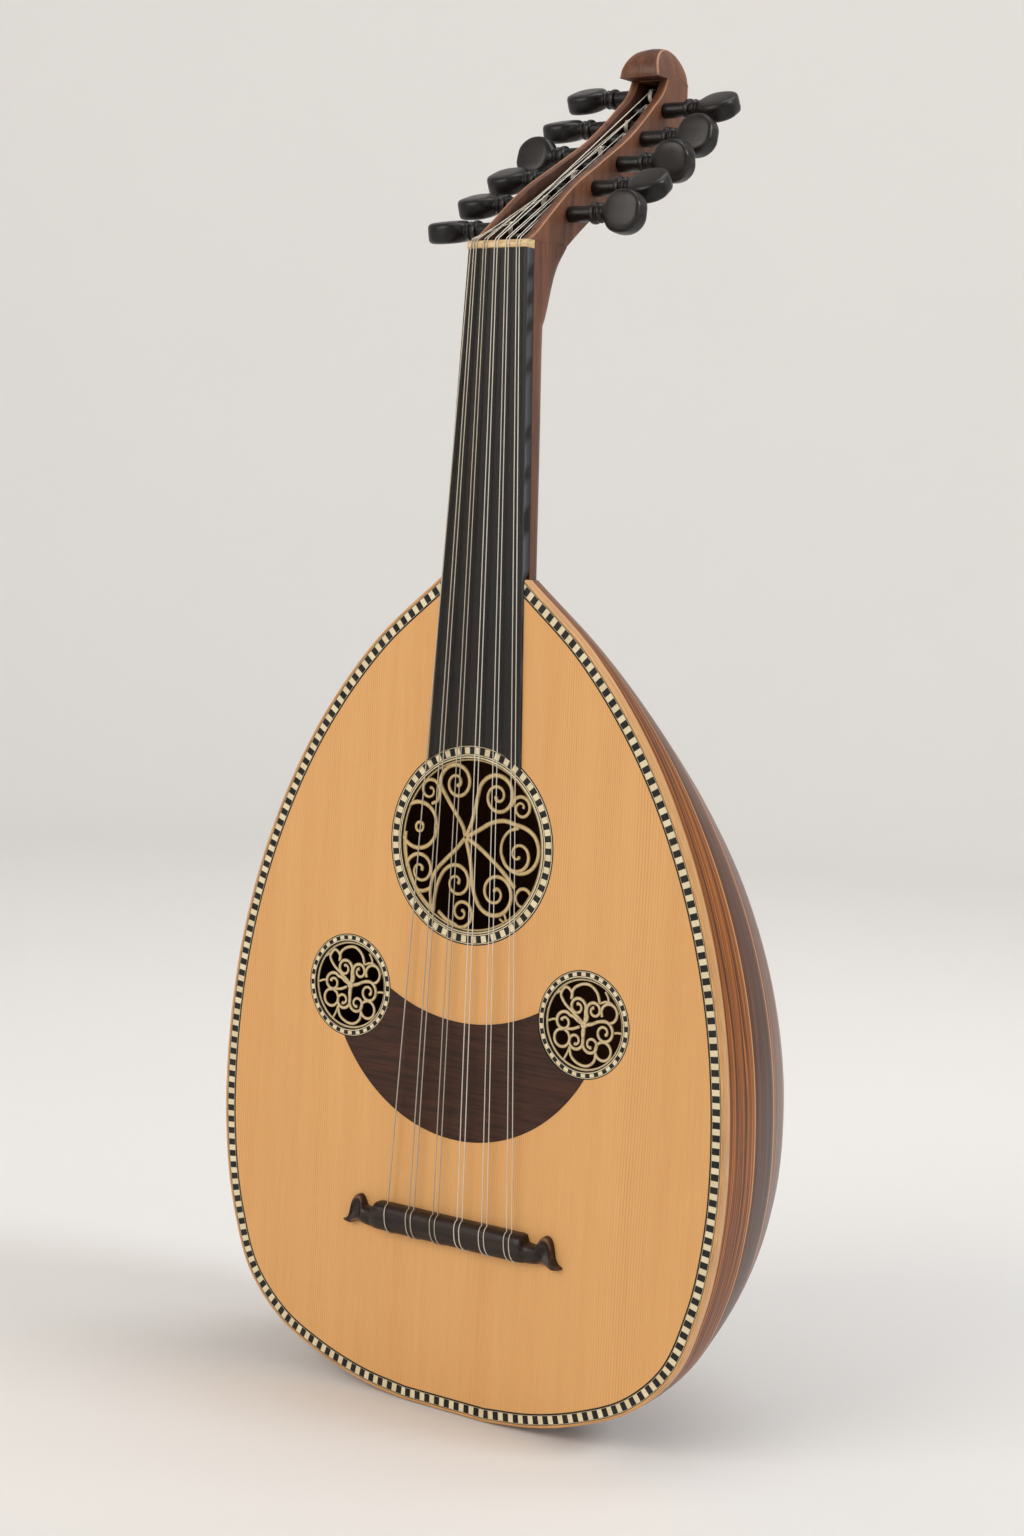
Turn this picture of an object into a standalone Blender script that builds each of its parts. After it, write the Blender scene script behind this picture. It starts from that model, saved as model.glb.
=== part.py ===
"""Short-necked oud: staved bowl, flat soundboard with three rosettes, bent-back pegbox and eleven pegs.

Every dimension below is in millimetres. A point is written (x, depth, z): x runs towards the treble
side, depth is measured backwards from the front face of the soundboard, and z runs up the neck from
the flat at the tail. The origin is the middle of that flat, so world Y is depth - FACE_DEPTH.
"""
import math

import bmesh
import bpy
import numpy as np
from mathutils import Vector
from mathutils.geometry import tessellate_polygon

MM = 0.001
GAP = 0.3                      # clearance between pieces that touch
FACE_DEPTH = 3.1               # from the soundboard's face back to the middle of the tail flat

# Body
BODY_LENGTH = 494.0
TAIL_FLAT = 30.0               # half-width of the flat that the body stands on
NECK_JOINT = 30.0              # half-width of the body where the neck joins it
HALF_OUTLINE = [(TAIL_FLAT, 0), (62, 4), (98, 14), (130, 29), (155, 53), (171, 91), (180.5, 145),
                (181, 195), (171.5, 270), (149, 342), (114, 408), (76, 455), (NECK_JOINT, BODY_LENGTH)]
BACK_PROFILE = [(8, 0), (26, 10), (58, 30), (103, 60), (158, 100), (181, 145), (186, 200), (173, 260),
                (146, 320), (107, 375), (62, 430), (37, 468), (27, BODY_LENGTH)]
SECTION_POWER = 2.3            # superellipse exponent of the bowl's cross-section
RIM_DEPTH = 6.5                # where the ribs start, behind the edge band
RIB_COUNT = 19
RIB_THICKNESS = 2.5
RIB_STATIONS = 17
CLASP_THICKNESS = 1.2
CLASP_GAP = 0.7                # clears the ribs' twisted facets
CLASP_RIBS = (5, 14)           # seams between which the end clasp covers the ribs
SOUNDBOARD_THICKNESS = 2.0
BAND_LIP = 1.5                 # what shows of the edge band on the face
BAND_LEDGE = 10.0              # how far the band reaches in under the soundboard
PURFLING_WIDTH = 6.0
RIM_STEPS = 3                  # outline points between two of the points above

# Soundboard fittings
LARGE_ROSETTE = (0.0, 338.0, 58.5, 8.0)      # x, z, outer radius, ring width
SMALL_ROSETTE = (85.3, 244.0, 30.9, 4.5)
GRILLE_THICKNESS = 2.4
GUARD_TOP = (348.5, 115.5)     # centre z and radius of the pickguard's upper arc
GUARD_BOTTOM = (265.0, 102.0)  # the same for its lower arc
GUARD_THICKNESS = 0.6
BRACE_HEIGHTS = (128.0, 277.2, 402.0)
BRACE_SIZE = (4.0, 14.0)       # thickness along the body, height behind the soundboard
BRIDGE_Z = 109.0
BRIDGE_HALF_LENGTH = 54.0
BRIDGE_SECTION = [(-8.2, 0.3), (-8.5, 3.5), (-7, 6.8), (-3.5, 9), (1, 9.6), (5, 9), (8, 6.4), (8.5, 0.3)]
WING_EDGES = [(1.8, -8.4, 6.5), (4.2, -8, 3.8), (7, -6.8, 4.3), (9.5, -6, 8.6), (12.5, -7, 10), (16, -8.3, 9.4),
              (18.6, -8.9, 6.5), (19.8, -9.1, 0.5), (21, -9.1, -4), (23.3, -8.9, -6.1), (25.3, -8.2, -7)]
WING_THICKNESS = 6.0

# Neck and fingerboard
NUT_Z = 685.0
NUT_HALF_WIDTH = 21.0
NECK_TAPER = 0.0415            # half-width gained for each millimetre below the nut
FINGERBOARD_FRONT = -2.0
FINGERBOARD_BACK = 5.3
FINGERBOARD_END_RADIUS = 54.5
NUT_SPAN = (682.6, 687.3)
NUT_FRONT = -3.4
NECK_BACK = [(27, BODY_LENGTH), (28, 580), (28.5, 640), (30, 662), (33, 677), (37, 687.3)]

# Pegbox, in (depth, z)
CHEEK_TAPER = 0.05
CHEEK_THICKNESS = 6.0
BOX_FLOOR = 5.0
BOX_TOP = 803.7
CHEEK_FRONT = [(0.5, 687.6), (6, 691), (18, 701), (44, 722.5), (75, 742), (108, 763), (134, 785),
               (145, 796), (148.5, BOX_TOP)]
BOX_BACK = [(37, 687.6), (48, 695), (103, 731.3), (146, 759.5), (163, 771.5), (173.5, 787), (174, BOX_TOP)]
PEG_LINE = [(29, 697.5), (44, 708), (75, 730), (103, 749), (133, 772), (150, 787.5), (158, 796)]
FINIAL = [(148.8, 804), (140, 804.4), (136, 806), (133.5, 809.5), (135, 815), (141, 820.5), (150, 823.3),
          (159, 822.6), (167, 818.5), (172.3, 812), (174, 804)]

# Pegs: distance out from the cheek, half-width across the head, half-thickness
PEG_COUNT = 11
PEG_RADIUS = (3.4, 4.2)        # at its tip and at the cheek it enters
PEG_PROFILE = [(0, 4.2, 4.2), (15.5, 4.0, 4.0), (17, 6.2, 6.2), (19.3, 6.2, 6.2), (20.6, 4.6, 4.6),
               (22.3, 5.6, 5.6), (24.2, 4.7, 4.7), (26.5, 6.4, 4.7), (29, 9.6, 5.4), (33, 12, 5.8),
               (38.3, 12.9, 5.9), (43.6, 12, 5.8), (47.6, 9.4, 5.2), (50.2, 5.6, 4), (51, 2.6, 2)]
PEG_SIDES = 10
PEG_TURNS = (78, 5, 70, 52, 64, -8, 15, 12, 74, 58, 66)    # rest angle of each head, lowest peg first

# Strings, bass to treble: where each crosses the nut and meets its peg, and its radius
NUT_PLACES = (-17.4, -15.2, -13.4, -8.4, -6.4, -0.6, 1.4, 7.2, 9.2, 14.8, 16.8)
WINDING_PLACES = (-9.2, -5.3, -3.5, -3.0, -2.5, -1.5, 1.5, 2.5, 3.0, 4.1, 7.2)
COURSE_SPACING = 17.9
PAIR_SPACING = 3.7
STRING_RADII = (0.55, 0.5, 0.5, 0.45, 0.45, 0.42, 0.42, 0.38, 0.38, 0.35, 0.35)
STRING_AT_BRIDGE = -6.0
COURSES = ((0,), (1, 2), (3, 4), (5, 6), (7, 8), (9, 10))
STRING_PEGS = (0, 2, 4, 6, 8, 10, 9, 7, 5, 3, 1)           # peg that each string runs to


def material(name, colour, roughness, metallic=0.0):
    """A plain Principled finish, made once for each name."""
    made = bpy.data.materials.get(name)
    if made is None:
        made = bpy.data.materials.new(name)
        made.use_nodes = True
        shader = made.node_tree.nodes["Principled BSDF"]
        shader.inputs["Base Color"].default_value = (*colour, 1.0)
        shader.inputs["Roughness"].default_value = roughness
        shader.inputs["Metallic"].default_value = metallic
    return made


FINISHES = {
    "spruce": ((0.72, 0.42, 0.17), 0.42),
    "brace_spruce": ((0.75, 0.52, 0.28), 0.6),
    "rosewood": ((0.16, 0.05, 0.02), 0.22),
    "walnut": ((0.22, 0.08, 0.035), 0.35),
    "maple": ((0.68, 0.42, 0.18), 0.35),
    "ebony": ((0.025, 0.02, 0.017), 0.3),
    "inlay": ((0.45, 0.4, 0.3), 0.35),
    "grille": ((0.55, 0.42, 0.24), 0.45),
    "guard": ((0.09, 0.035, 0.02), 0.35),
    "bone": ((0.72, 0.62, 0.42), 0.3),
    "string": ((0.8, 0.78, 0.72), 0.3),
}


def add_object(name, points, faces, finish, smooth_above=0.6):
    """One closed object from points in (x, depth, z) millimetres, faces turned outwards."""
    mesh = bpy.data.meshes.new(name)
    placed = [(x * MM, (depth - FACE_DEPTH) * MM, z * MM) for x, depth, z in points]
    mesh.from_pydata(placed, [], faces)
    builder = bmesh.new()
    builder.from_mesh(mesh)
    bmesh.ops.recalc_face_normals(builder, faces=builder.faces)
    builder.to_mesh(mesh)
    builder.free()
    mesh.shade_smooth()
    mesh.set_sharp_from_angle(angle=smooth_above)
    mesh.materials.append(material(finish, *FINISHES[finish]))
    made = bpy.data.objects.new(name, mesh)
    bpy.context.scene.collection.objects.link(made)
    return made


def smooth_curve(points, steps):
    """A cubic through the points, with parabola tangents, cut into steps between each two."""
    corners = np.array(points, float)
    along = np.concatenate([[0.0], np.cumsum(np.linalg.norm(np.diff(corners, axis=0), axis=1))])
    tangents = np.gradient(corners, along, axis=0)
    made = [corners[:1]]
    for i in range(len(corners) - 1):
        span = along[i + 1] - along[i]
        t = np.linspace(0.0, 1.0, steps + 1)[1:, None]
        made.append((2 * t**3 - 3 * t**2 + 1) * corners[i] + (t**3 - 2 * t**2 + t) * span * tangents[i]
                    + (3 * t**2 - 2 * t**3) * corners[i + 1] + (t**3 - t**2) * span * tangents[i + 1])
    return np.concatenate(made)


def arc(centre, radius, first, last, steps):
    """Points (a, b) on a circle from one angle to another, in degrees."""
    angles = np.radians(np.linspace(first, last, steps + 1))
    return [(centre[0] + radius * math.cos(a), centre[1] + radius * math.sin(a)) for a in angles]


def circle(centre, radius, sides, turn=0.0):
    return arc(centre, radius, turn, turn + 360.0, sides)[:-1]


def prism(loops, low, high):
    """Points and faces of a flat piece with holes; low and high turn a loop point into a 3-D point."""
    flat = [point for loop in loops for point in loop]
    count = len(flat)
    points = [low(*point) for point in flat] + [high(*point) for point in flat]
    fill = tessellate_polygon([[Vector((a, b, 0)) for a, b in loop] for loop in loops])
    faces = [tuple(triangle) for triangle in fill]
    faces += [tuple(i + count for i in reversed(triangle)) for triangle in fill]
    start = 0
    for loop in loops:
        size = len(loop)
        for i in range(size):
            here, following = start + i, start + (i + 1) % size
            faces.append((here, following, following + count, here + count))
        start += size
    return points, faces


def add_plate(name, loops, front, back, finish):
    """A flat piece parallel to the face; its loops are in (x, z)."""
    points, faces = prism(loops, lambda x, z: (x, front, z), lambda x, z: (x, back, z))
    return add_object(name, points, faces, finish)


def loft(rings):
    """Points and faces of a closed body through rings of equal length, with flat ends."""
    size = len(rings[0])
    points = [tuple(point) for ring in rings for point in ring]
    faces = [tuple(range(size)), tuple(range((len(rings) - 1) * size, len(rings) * size))[::-1]]
    for k in range(len(rings) - 1):
        for i in range(size):
            j = (i + 1) % size
            faces.append((k * size + i, k * size + j, (k + 1) * size + j, (k + 1) * size + i))
    return points, faces


# ---------------------------------------------------------------- body

OUTLINE = smooth_curve(HALF_OUTLINE, RIM_STEPS)
BACK = smooth_curve(BACK_PROFILE, 8)


def half_width(z):
    return np.interp(z, OUTLINE[:, 1], OUTLINE[:, 0])


def back_depth(z):
    return np.interp(z, BACK[:, 1], BACK[:, 0])


def rim_path(inset):
    """The right half of the body's outline moved inwards, from the tail's middle to the neck."""
    tangents = np.gradient(OUTLINE, axis=0)
    tangents[0] = (1.0, 0.0)
    tangents /= np.linalg.norm(tangents, axis=1)[:, None]
    inwards = np.stack([-tangents[:, 1], tangents[:, 0]], axis=1)
    moved = OUTLINE + inset * inwards
    return np.concatenate([[(0.0, inset)], moved])


def width_inside(z, inset):
    """Half-width left inside the rim at a height, after an inset square to the outline."""
    path = rim_path(inset)
    return float(np.interp(z, path[:, 1], path[:, 0]))


def mirrored(path):
    """A right-hand path closed over to the left: from the left neck corner round to the right."""
    left = [(-x, z) for x, z in path[:0:-1]]
    return left + [tuple(point) for point in path]


def sweep_rim(name, section, finish):
    """A strip round the rim; its section is a list of (inset, depth)."""
    paths = [mirrored(rim_path(inset)) for inset, _ in section]
    depths = [depth for _, depth in section]
    rings = [[(path[i][0], depth, path[i][1]) for path, depth in zip(paths, depths)]
             for i in range(len(paths[0]))]
    return add_object(name, *loft(rings), finish)


def bowl_section(z):
    """Cross-section of the bowl: x and depth at even steps of angle, and the length along it."""
    angle = np.linspace(0.0, math.pi, 241)
    power = 2.0 / SECTION_POWER
    x = half_width(z) * np.sign(np.cos(angle)) * np.abs(np.cos(angle)) ** power
    depth = RIM_DEPTH + (back_depth(z) - RIM_DEPTH) * np.abs(np.sin(angle)) ** power
    length = np.concatenate([[0.0], np.cumsum(np.hypot(np.diff(x), np.diff(depth)))])
    return x, depth, length


def bowl_point(z, share, shift=0.0):
    """The bowl's surface at a share of the way round from the treble rim, moved along by shift."""
    x, depth, length = bowl_section(z)
    place = share * length[-1] + shift
    return np.array([np.interp(place, length, x), np.interp(place, length, depth), z])


def bowl_normal(z, share):
    """Outward normal of the bowl, from small steps along it and across it."""
    low, high = max(z - 0.5, 0.0), min(z + 0.5, BODY_LENGTH)
    left, right = max(share - 0.004, 0.0), min(share + 0.004, 1.0)
    along = bowl_point(high, share) - bowl_point(low, share)
    across = bowl_point(z, right) - bowl_point(z, left)
    normal = np.cross(across, along)
    return normal / np.linalg.norm(normal)


def rib_heights():
    """Cross-sections of the bowl, closer together towards its two ends."""
    return BODY_LENGTH * (1 - np.cos(np.linspace(0.0, math.pi, RIB_STATIONS))) / 2


def shell_ring(z, shares, shifts, outside, thickness):
    """One cross-section of a curved strip: outer points one way, inner points back."""
    outer, inner = [], []
    for share, shift in zip(shares, shifts):
        surface, normal = bowl_point(z, share, shift), bowl_normal(z, share)
        outer.append(surface + outside * normal)
        inner.append(surface + (outside - thickness) * normal)
    return outer + inner[::-1]


def build_ribs():
    """Staves of equal width at every height, thinned where they crowd together at the tail."""
    for rib in range(RIB_COUNT):
        shares = (rib / RIB_COUNT, (rib + 1) / RIB_COUNT)
        rings = [shell_ring(z, shares, (GAP / 2, -GAP / 2), 0.0, RIB_THICKNESS * min(1.0, 0.4 + z / 20))
                 for z in rib_heights()]
        add_object(f"rib_{rib + 1:02d}", *loft(rings), "rosewood")


def build_end_clasp():
    """Strip over the ribs' tail ends, faceted as they are."""
    shares = np.arange(CLASP_RIBS[0], CLASP_RIBS[1] + 1) / RIB_COUNT
    rings = [shell_ring(z, shares, np.zeros(len(shares)), CLASP_GAP + CLASP_THICKNESS, CLASP_THICKNESS)
             for z in rib_heights()[1:4]]
    add_object("end_clasp", *loft(rings), "walnut")


def build_soundboard():
    edge = mirrored(rim_path(BAND_LIP + PURFLING_WIDTH + 2 * GAP))
    shoulder = NECK_JOINT - 1.1
    top = BODY_LENGTH - GAP
    outline = [(-shoulder, top)] + edge + [(shoulder, top)]
    holes = [circle((x, z), radius + GAP, sides) for x, z, radius, sides in (
        (0.0, LARGE_ROSETTE[1], LARGE_ROSETTE[2], 48),
        (-SMALL_ROSETTE[0], SMALL_ROSETTE[1], SMALL_ROSETTE[2], 30),
        (SMALL_ROSETTE[0], SMALL_ROSETTE[1], SMALL_ROSETTE[2], 30))]
    add_plate("soundboard", [outline] + holes, 0.0, SOUNDBOARD_THICKNESS, "spruce")


def build_rim():
    ledge = SOUNDBOARD_THICKNESS + GAP
    back = RIM_DEPTH - GAP
    sweep_rim("edge_band", [(0, 0), (BAND_LIP, 0), (BAND_LIP, ledge), (BAND_LEDGE, ledge),
                            (BAND_LEDGE, back), (0, back)], "maple")
    inner = BAND_LIP + GAP
    outer = inner + PURFLING_WIDTH
    sweep_rim("edge_purfling", [(inner, 0), (outer, 0), (outer, 1.8), (inner, 1.8)], "inlay")


def build_braces():
    """Bars across the back of the soundboard, their lower corners cut away at both ends."""
    thickness, height = BRACE_SIZE
    front = SOUNDBOARD_THICKNESS + GAP
    for count, z in enumerate(BRACE_HEIGHTS):
        reach = min(width_inside(z + end, BAND_LEDGE + 2.0) for end in (-thickness / 2, thickness / 2))
        profile = [(-reach, front), (reach, front), (reach, front + 4), (reach - 18, front + height),
                   (18 - reach, front + height), (-reach, front + 4)]
        rings = [[(x, depth, level) for x, depth in profile]
                 for level in (z - thickness / 2, z + thickness / 2)]
        add_object(f"brace_{count + 1}", *loft(rings), "brace_spruce")


def build_blocks():
    """Neck block and tail block, inside the ends of the bowl."""
    inset = RIB_THICKNESS + 1.5
    rings = []
    for z in (462.0, 472.0, 483.0, BODY_LENGTH - 2 * GAP):
        slope = float(half_width(z - 2) - half_width(z)) / 2
        width = float(half_width(z)) - inset * math.hypot(1.0, slope)
        depth = float(back_depth(z)) - inset
        start = RIM_DEPTH + GAP
        angles = np.linspace(0.0, math.pi, 11)
        power = 2.0 / SECTION_POWER
        rings.append([(width * math.copysign(abs(math.cos(a)) ** power, math.cos(a)),
                       start + (depth - start) * abs(math.sin(a)) ** power, z) for a in angles])
    add_object("neck_block", *loft(rings), "brace_spruce")
    tail = [(-38, 12), (38, 12), (38, 22), (-38, 22)]
    add_object("tail_block", *loft([[(x, depth, z) for x, z in tail]
                                    for depth in (RIM_DEPTH + GAP, 19.0)]), "brace_spruce")


# ---------------------------------------------------------------- soundboard fittings

def build_rosette(suffix, x, rosette, sides):
    """A ring let into the soundboard and the pierced grille inside it."""
    _, z, outer, width = rosette
    inner = outer - width
    add_plate(f"rosette_ring_{suffix}", [circle((x, z), outer, sides), circle((x, z), inner, sides)],
              0.0, SOUNDBOARD_THICKNESS, "inlay")
    edge = inner - GAP
    holes = [circle((x, z), 0.22 * edge, 8)]
    for k in range(6):
        angle = math.radians(60 * k)
        big = (x + 0.56 * edge * math.cos(angle), z + 0.56 * edge * math.sin(angle))
        holes.append(circle(big, 0.25 * edge, 10))
        angle += math.radians(30)
        small = (x + 0.78 * edge * math.cos(angle), z + 0.78 * edge * math.sin(angle))
        holes.append(circle(small, 0.11 * edge, 6))
    add_plate(f"rosette_grille_{suffix}", [circle((x, z), edge, sides)] + holes,
              0.4, 0.4 + GRILLE_THICKNESS, "grille")


def circle_meeting(centre_a, radius_a, centre_b, radius_b, side):
    """Where two circles cross; side picks the crossing to the left (1) or right (-1) of a to b."""
    a, b = Vector(centre_a), Vector(centre_b)
    apart = (b - a).length
    reach = (radius_a**2 - radius_b**2 + apart**2) / (2 * apart)
    rise = math.sqrt(radius_a**2 - reach**2)
    forward = (b - a) / apart
    return a + reach * forward + side * rise * Vector((-forward.y, forward.x))


def angle_of(point, centre):
    return math.degrees(math.atan2(point[1] - centre[1], point[0] - centre[0]))


def build_pickguard():
    """Crescent between two arcs, its ends cut round to clear the small rosettes."""
    rose, rose_radius = (SMALL_ROSETTE[0], SMALL_ROSETTE[1]), SMALL_ROSETTE[2] + GAP
    top, top_radius = (0.0, GUARD_TOP[0]), GUARD_TOP[1]
    bottom, bottom_radius = (0.0, GUARD_BOTTOM[0]), GUARD_BOTTOM[1]
    upper = circle_meeting(top, top_radius, rose, rose_radius, -1)
    lower = circle_meeting(bottom, bottom_radius, rose, rose_radius, -1)
    lower_arc = arc(bottom, bottom_radius, -90, angle_of(lower, bottom), 12)
    end_arc = arc(rose, rose_radius, angle_of(lower, rose), angle_of(upper, rose) - 360, 8)
    upper_arc = arc(top, top_radius, angle_of(upper, top), -90, 8)
    right = lower_arc + end_arc[1:] + upper_arc[1:]
    left = [(-x, z) for x, z in right[-2:0:-1]]
    add_plate("pickguard", [right + left], -GAP - GUARD_THICKNESS, -GAP, "guard")


def wing_ring(x, low, high):
    """A section of a bridge wing, with as many points as the bridge's own section."""
    top = (low + high) / 2
    front = WING_THICKNESS + GAP
    section = [(low, GAP), (low, front - 1.5), (low + (top - low) * 0.3, front), (top, front),
               (high + (top - high) * 0.5, front), (high + (top - high) * 0.2, front - 0.6),
               (high, front - 1.8), (high, GAP)]
    return [(x, -depth, BRIDGE_Z + z) for z, depth in section]


def build_bridge():
    """Half-round bar whose ends are cut down into horned wings."""
    right = [[(BRIDGE_HALF_LENGTH, -depth, BRIDGE_Z + z) for z, depth in BRIDGE_SECTION]]
    right += [wing_ring(BRIDGE_HALF_LENGTH + out, low, high) for out, low, high in WING_EDGES]
    left = [[(-x, depth, z) for x, depth, z in ring] for ring in reversed(right)]
    add_object("bridge", *loft(left + right), "ebony")


# ---------------------------------------------------------------- neck

def neck_half_width(z):
    return NUT_HALF_WIDTH + NECK_TAPER * (NUT_Z - z)


def build_fingerboard():
    """Thick over the neck, thin over the soundboard, its end curved round the large rosette."""
    _, rose_z, _, _ = LARGE_ROSETTE
    corner = 33.6
    reach = math.degrees(math.asin(corner / FINGERBOARD_END_RADIUS))
    end = arc((0.0, rose_z), FINGERBOARD_END_RADIUS, 90 + reach, 90 - reach, 10)
    joint = BODY_LENGTH + GAP
    joint_half = neck_half_width(joint)
    top = NUT_SPAN[0] - GAP
    top_half = neck_half_width(top)
    rings = []
    for share in np.linspace(-1, 1, len(end)):
        tip_x, tip_z = end[int(round((share + 1) / 2 * (len(end) - 1)))]
        rings.append([(tip_x, FINGERBOARD_FRONT, tip_z),
                      (share * joint_half, FINGERBOARD_FRONT, joint),
                      (share * top_half, FINGERBOARD_FRONT, top),
                      (share * top_half, FINGERBOARD_BACK, top),
                      (share * joint_half, FINGERBOARD_BACK, joint),
                      (share * joint_half, -2 * GAP, joint),
                      (tip_x, -2 * GAP, tip_z)])
    add_object("fingerboard", *loft(rings), "ebony")


def build_neck():
    """Half-round neck that squares off into the heel of the pegbox."""
    back = smooth_curve(NECK_BACK, 6)
    start = FINGERBOARD_BACK + GAP
    rings = []
    for z in (BODY_LENGTH + GAP, 540, 590, 635, 652, 664, 673, 681, NUT_SPAN[1]):
        deepest = float(np.interp(z, back[:, 1], back[:, 0]))
        squareness = np.clip((z - 640) / 47, 0, 1)
        power = 2.0 / (SECTION_POWER + 5 * squareness**1.5)
        width = neck_half_width(z) - squareness * CHEEK_TAPER * start
        angles = np.linspace(0.0, math.pi, 15)
        rings.append([(width * math.copysign(abs(math.cos(a)) ** power, math.cos(a)),
                       start + (deepest - start) * abs(math.sin(a)) ** power, z) for a in angles])
    add_object("neck", *loft(rings), "walnut")


def build_nut():
    low, high = NUT_SPAN
    section = [(low, FINGERBOARD_BACK), (low, NUT_FRONT + 1), (low + 1, NUT_FRONT),
               (high - 1.6, NUT_FRONT), (high, NUT_FRONT + 1.4), (high, FINGERBOARD_BACK)]
    rings = [[(x, depth, z) for z, depth in section] for x in (-NUT_HALF_WIDTH, NUT_HALF_WIDTH)]
    add_object("nut", *loft(rings), "bone")


# ---------------------------------------------------------------- pegbox and pegs

def cheek_outside(depth):
    return NUT_HALF_WIDTH - CHEEK_TAPER * depth


def peg_axes():
    """Where the pegs cross the box, in (depth, z), evenly spaced along its middle line."""
    line = smooth_curve(PEG_LINE, 8)
    along = np.concatenate([[0.0], np.cumsum(np.linalg.norm(np.diff(line, axis=0), axis=1))])
    places = np.linspace(0.0, along[-1], PEG_COUNT)
    return [(float(np.interp(p, along, line[:, 0])), float(np.interp(p, along, line[:, 1]))) for p in places]


def peg_side(index):
    """Pegs alternate sides, starting on the bass side next to the nut."""
    return -1 if index % 2 == 0 else 1


def build_cheeks():
    front = [tuple(point) for point in smooth_curve(CHEEK_FRONT, 2)]
    back = [tuple(point) for point in smooth_curve(BOX_BACK, 2)]
    outline = front + back[::-1]
    for side, word in ((-1, "left"), (1, "right")):
        holes = []
        for index, axis in enumerate(peg_axes()):
            radius = PEG_RADIUS[1] if peg_side(index) == side else PEG_RADIUS[0] + 0.15
            holes.append(circle(axis, (radius + GAP) / math.cos(math.pi / 12), 12))
        points, faces = prism([outline] + holes,
                              lambda depth, z: (side * cheek_outside(depth), depth, z),
                              lambda depth, z: (side * (cheek_outside(depth) - CHEEK_THICKNESS), depth, z))
        add_object(f"pegbox_cheek_{word}", points, faces, "walnut")


def build_pegbox_back():
    """Floor between the cheeks, following their back edge."""
    back = smooth_curve(BOX_BACK, 2)
    tangents = np.gradient(back, axis=0)
    tangents /= np.linalg.norm(tangents, axis=1)[:, None]
    inside = back + BOX_FLOOR * np.stack([-tangents[:, 1], tangents[:, 0]], axis=1)
    inside[0] = (29.0, back[0, 1])
    inside[-1, 1] = back[-1, 1]
    rings = []
    for (depth_a, z_a), (depth_b, z_b) in zip(back, inside):
        half_a = cheek_outside(depth_a) - CHEEK_THICKNESS - GAP
        half_b = cheek_outside(depth_b) - CHEEK_THICKNESS - GAP
        rings.append([(-half_a, depth_a, z_a), (half_a, depth_a, z_a), (half_b, depth_b, z_b),
                      (-half_b, depth_b, z_b)])
    add_object("pegbox_back", *loft(rings), "walnut")


def build_finial():
    """Hook that curls forward over the end of the box."""
    profile = [tuple(point) for point in smooth_curve(FINIAL, 2)]
    points, faces = prism([profile], lambda depth, z: (-cheek_outside(depth), depth, z),
                          lambda depth, z: (cheek_outside(depth), depth, z))
    add_object("finial", points, faces, "walnut")


def build_pegs():
    """Tapered shaft, double collar and flat round head; each object's origin is on its axis."""
    counts = {-1: 0, 1: 0}
    for index, (depth, z) in enumerate(peg_axes()):
        side = peg_side(index)
        counts[side] += 1
        cheek = cheek_outside(depth)
        stations = [(-2 * cheek + 0.6, PEG_RADIUS[0], PEG_RADIUS[0])] + PEG_PROFILE
        turn = math.radians(PEG_TURNS[index])
        rings = []
        for out, wide, thick in stations:
            ring = []
            for k in range(PEG_SIDES):
                angle = 2 * math.pi * k / PEG_SIDES
                across, through = wide * math.cos(angle), thick * math.sin(angle)
                ring.append((side * (cheek + out), across * math.sin(turn) + through * math.cos(turn),
                             across * math.cos(turn) - through * math.sin(turn)))
            rings.append(ring)
        points, faces = loft(rings)
        centred = [(x, y + FACE_DEPTH, up) for x, y, up in points]
        word = "right" if side > 0 else "left"
        peg = add_object(f"peg_{word}_{counts[side]}", centred, faces, "ebony")
        peg.location = (0.0, (depth - FACE_DEPTH) * MM, z * MM)


# ---------------------------------------------------------------- strings

def bridge_place(string):
    """Where a string leaves the bridge: courses evenly spaced, the two strings of a pair close by."""
    for course, members in enumerate(COURSES):
        if string in members:
            centre = (course - (len(COURSES) - 1) / 2) * COURSE_SPACING
            return centre + (members.index(string) - (len(members) - 1) / 2) * PAIR_SPACING
    raise ValueError(string)


def string_route(string):
    """From the bridge over the nut and down to the front of its peg."""
    radius = STRING_RADII[string]
    peg = STRING_PEGS[string]
    depth, z = peg_axes()[peg]
    away = PEG_RADIUS[1] + GAP + radius + 0.15
    over_nut = NUT_FRONT - GAP - radius
    nut_x = NUT_PLACES[string]
    return [(bridge_place(string), STRING_AT_BRIDGE, BRIDGE_Z + BRIDGE_SECTION[-1][0] + 1),
            (nut_x, over_nut, NUT_SPAN[0] + 1),
            (nut_x, over_nut, NUT_SPAN[1] + 1),
            (WINDING_PLACES[string], depth - 0.58 * away, z + 0.82 * away)]


def build_strings():
    """One tube for each course: a pair is a long string doubled back behind the bridge's edge."""
    for course, members in enumerate(COURSES):
        curve = bpy.data.curves.new(f"strings_course_{course + 1}", "CURVE")
        curve.dimensions = "3D"
        curve.bevel_depth = 1.0
        curve.bevel_resolution = 1
        curve.use_fill_caps = True
        ends = [string_route(string) for string in members]
        for route in [ends[0][::-1] + ends[-1]] if len(ends) > 1 else ends:
            spline = curve.splines.new("POLY")
            spline.points.add(len(route) - 1)
            for point, (x, depth, z) in zip(spline.points, route):
                point.co = (x * MM, (depth - FACE_DEPTH) * MM, z * MM, 1.0)
                point.radius = STRING_RADII[members[0]] * MM
        curve.materials.append(material("string", *FINISHES["string"]))
        made = bpy.data.objects.new(curve.name, curve)
        bpy.context.scene.collection.objects.link(made)


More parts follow.
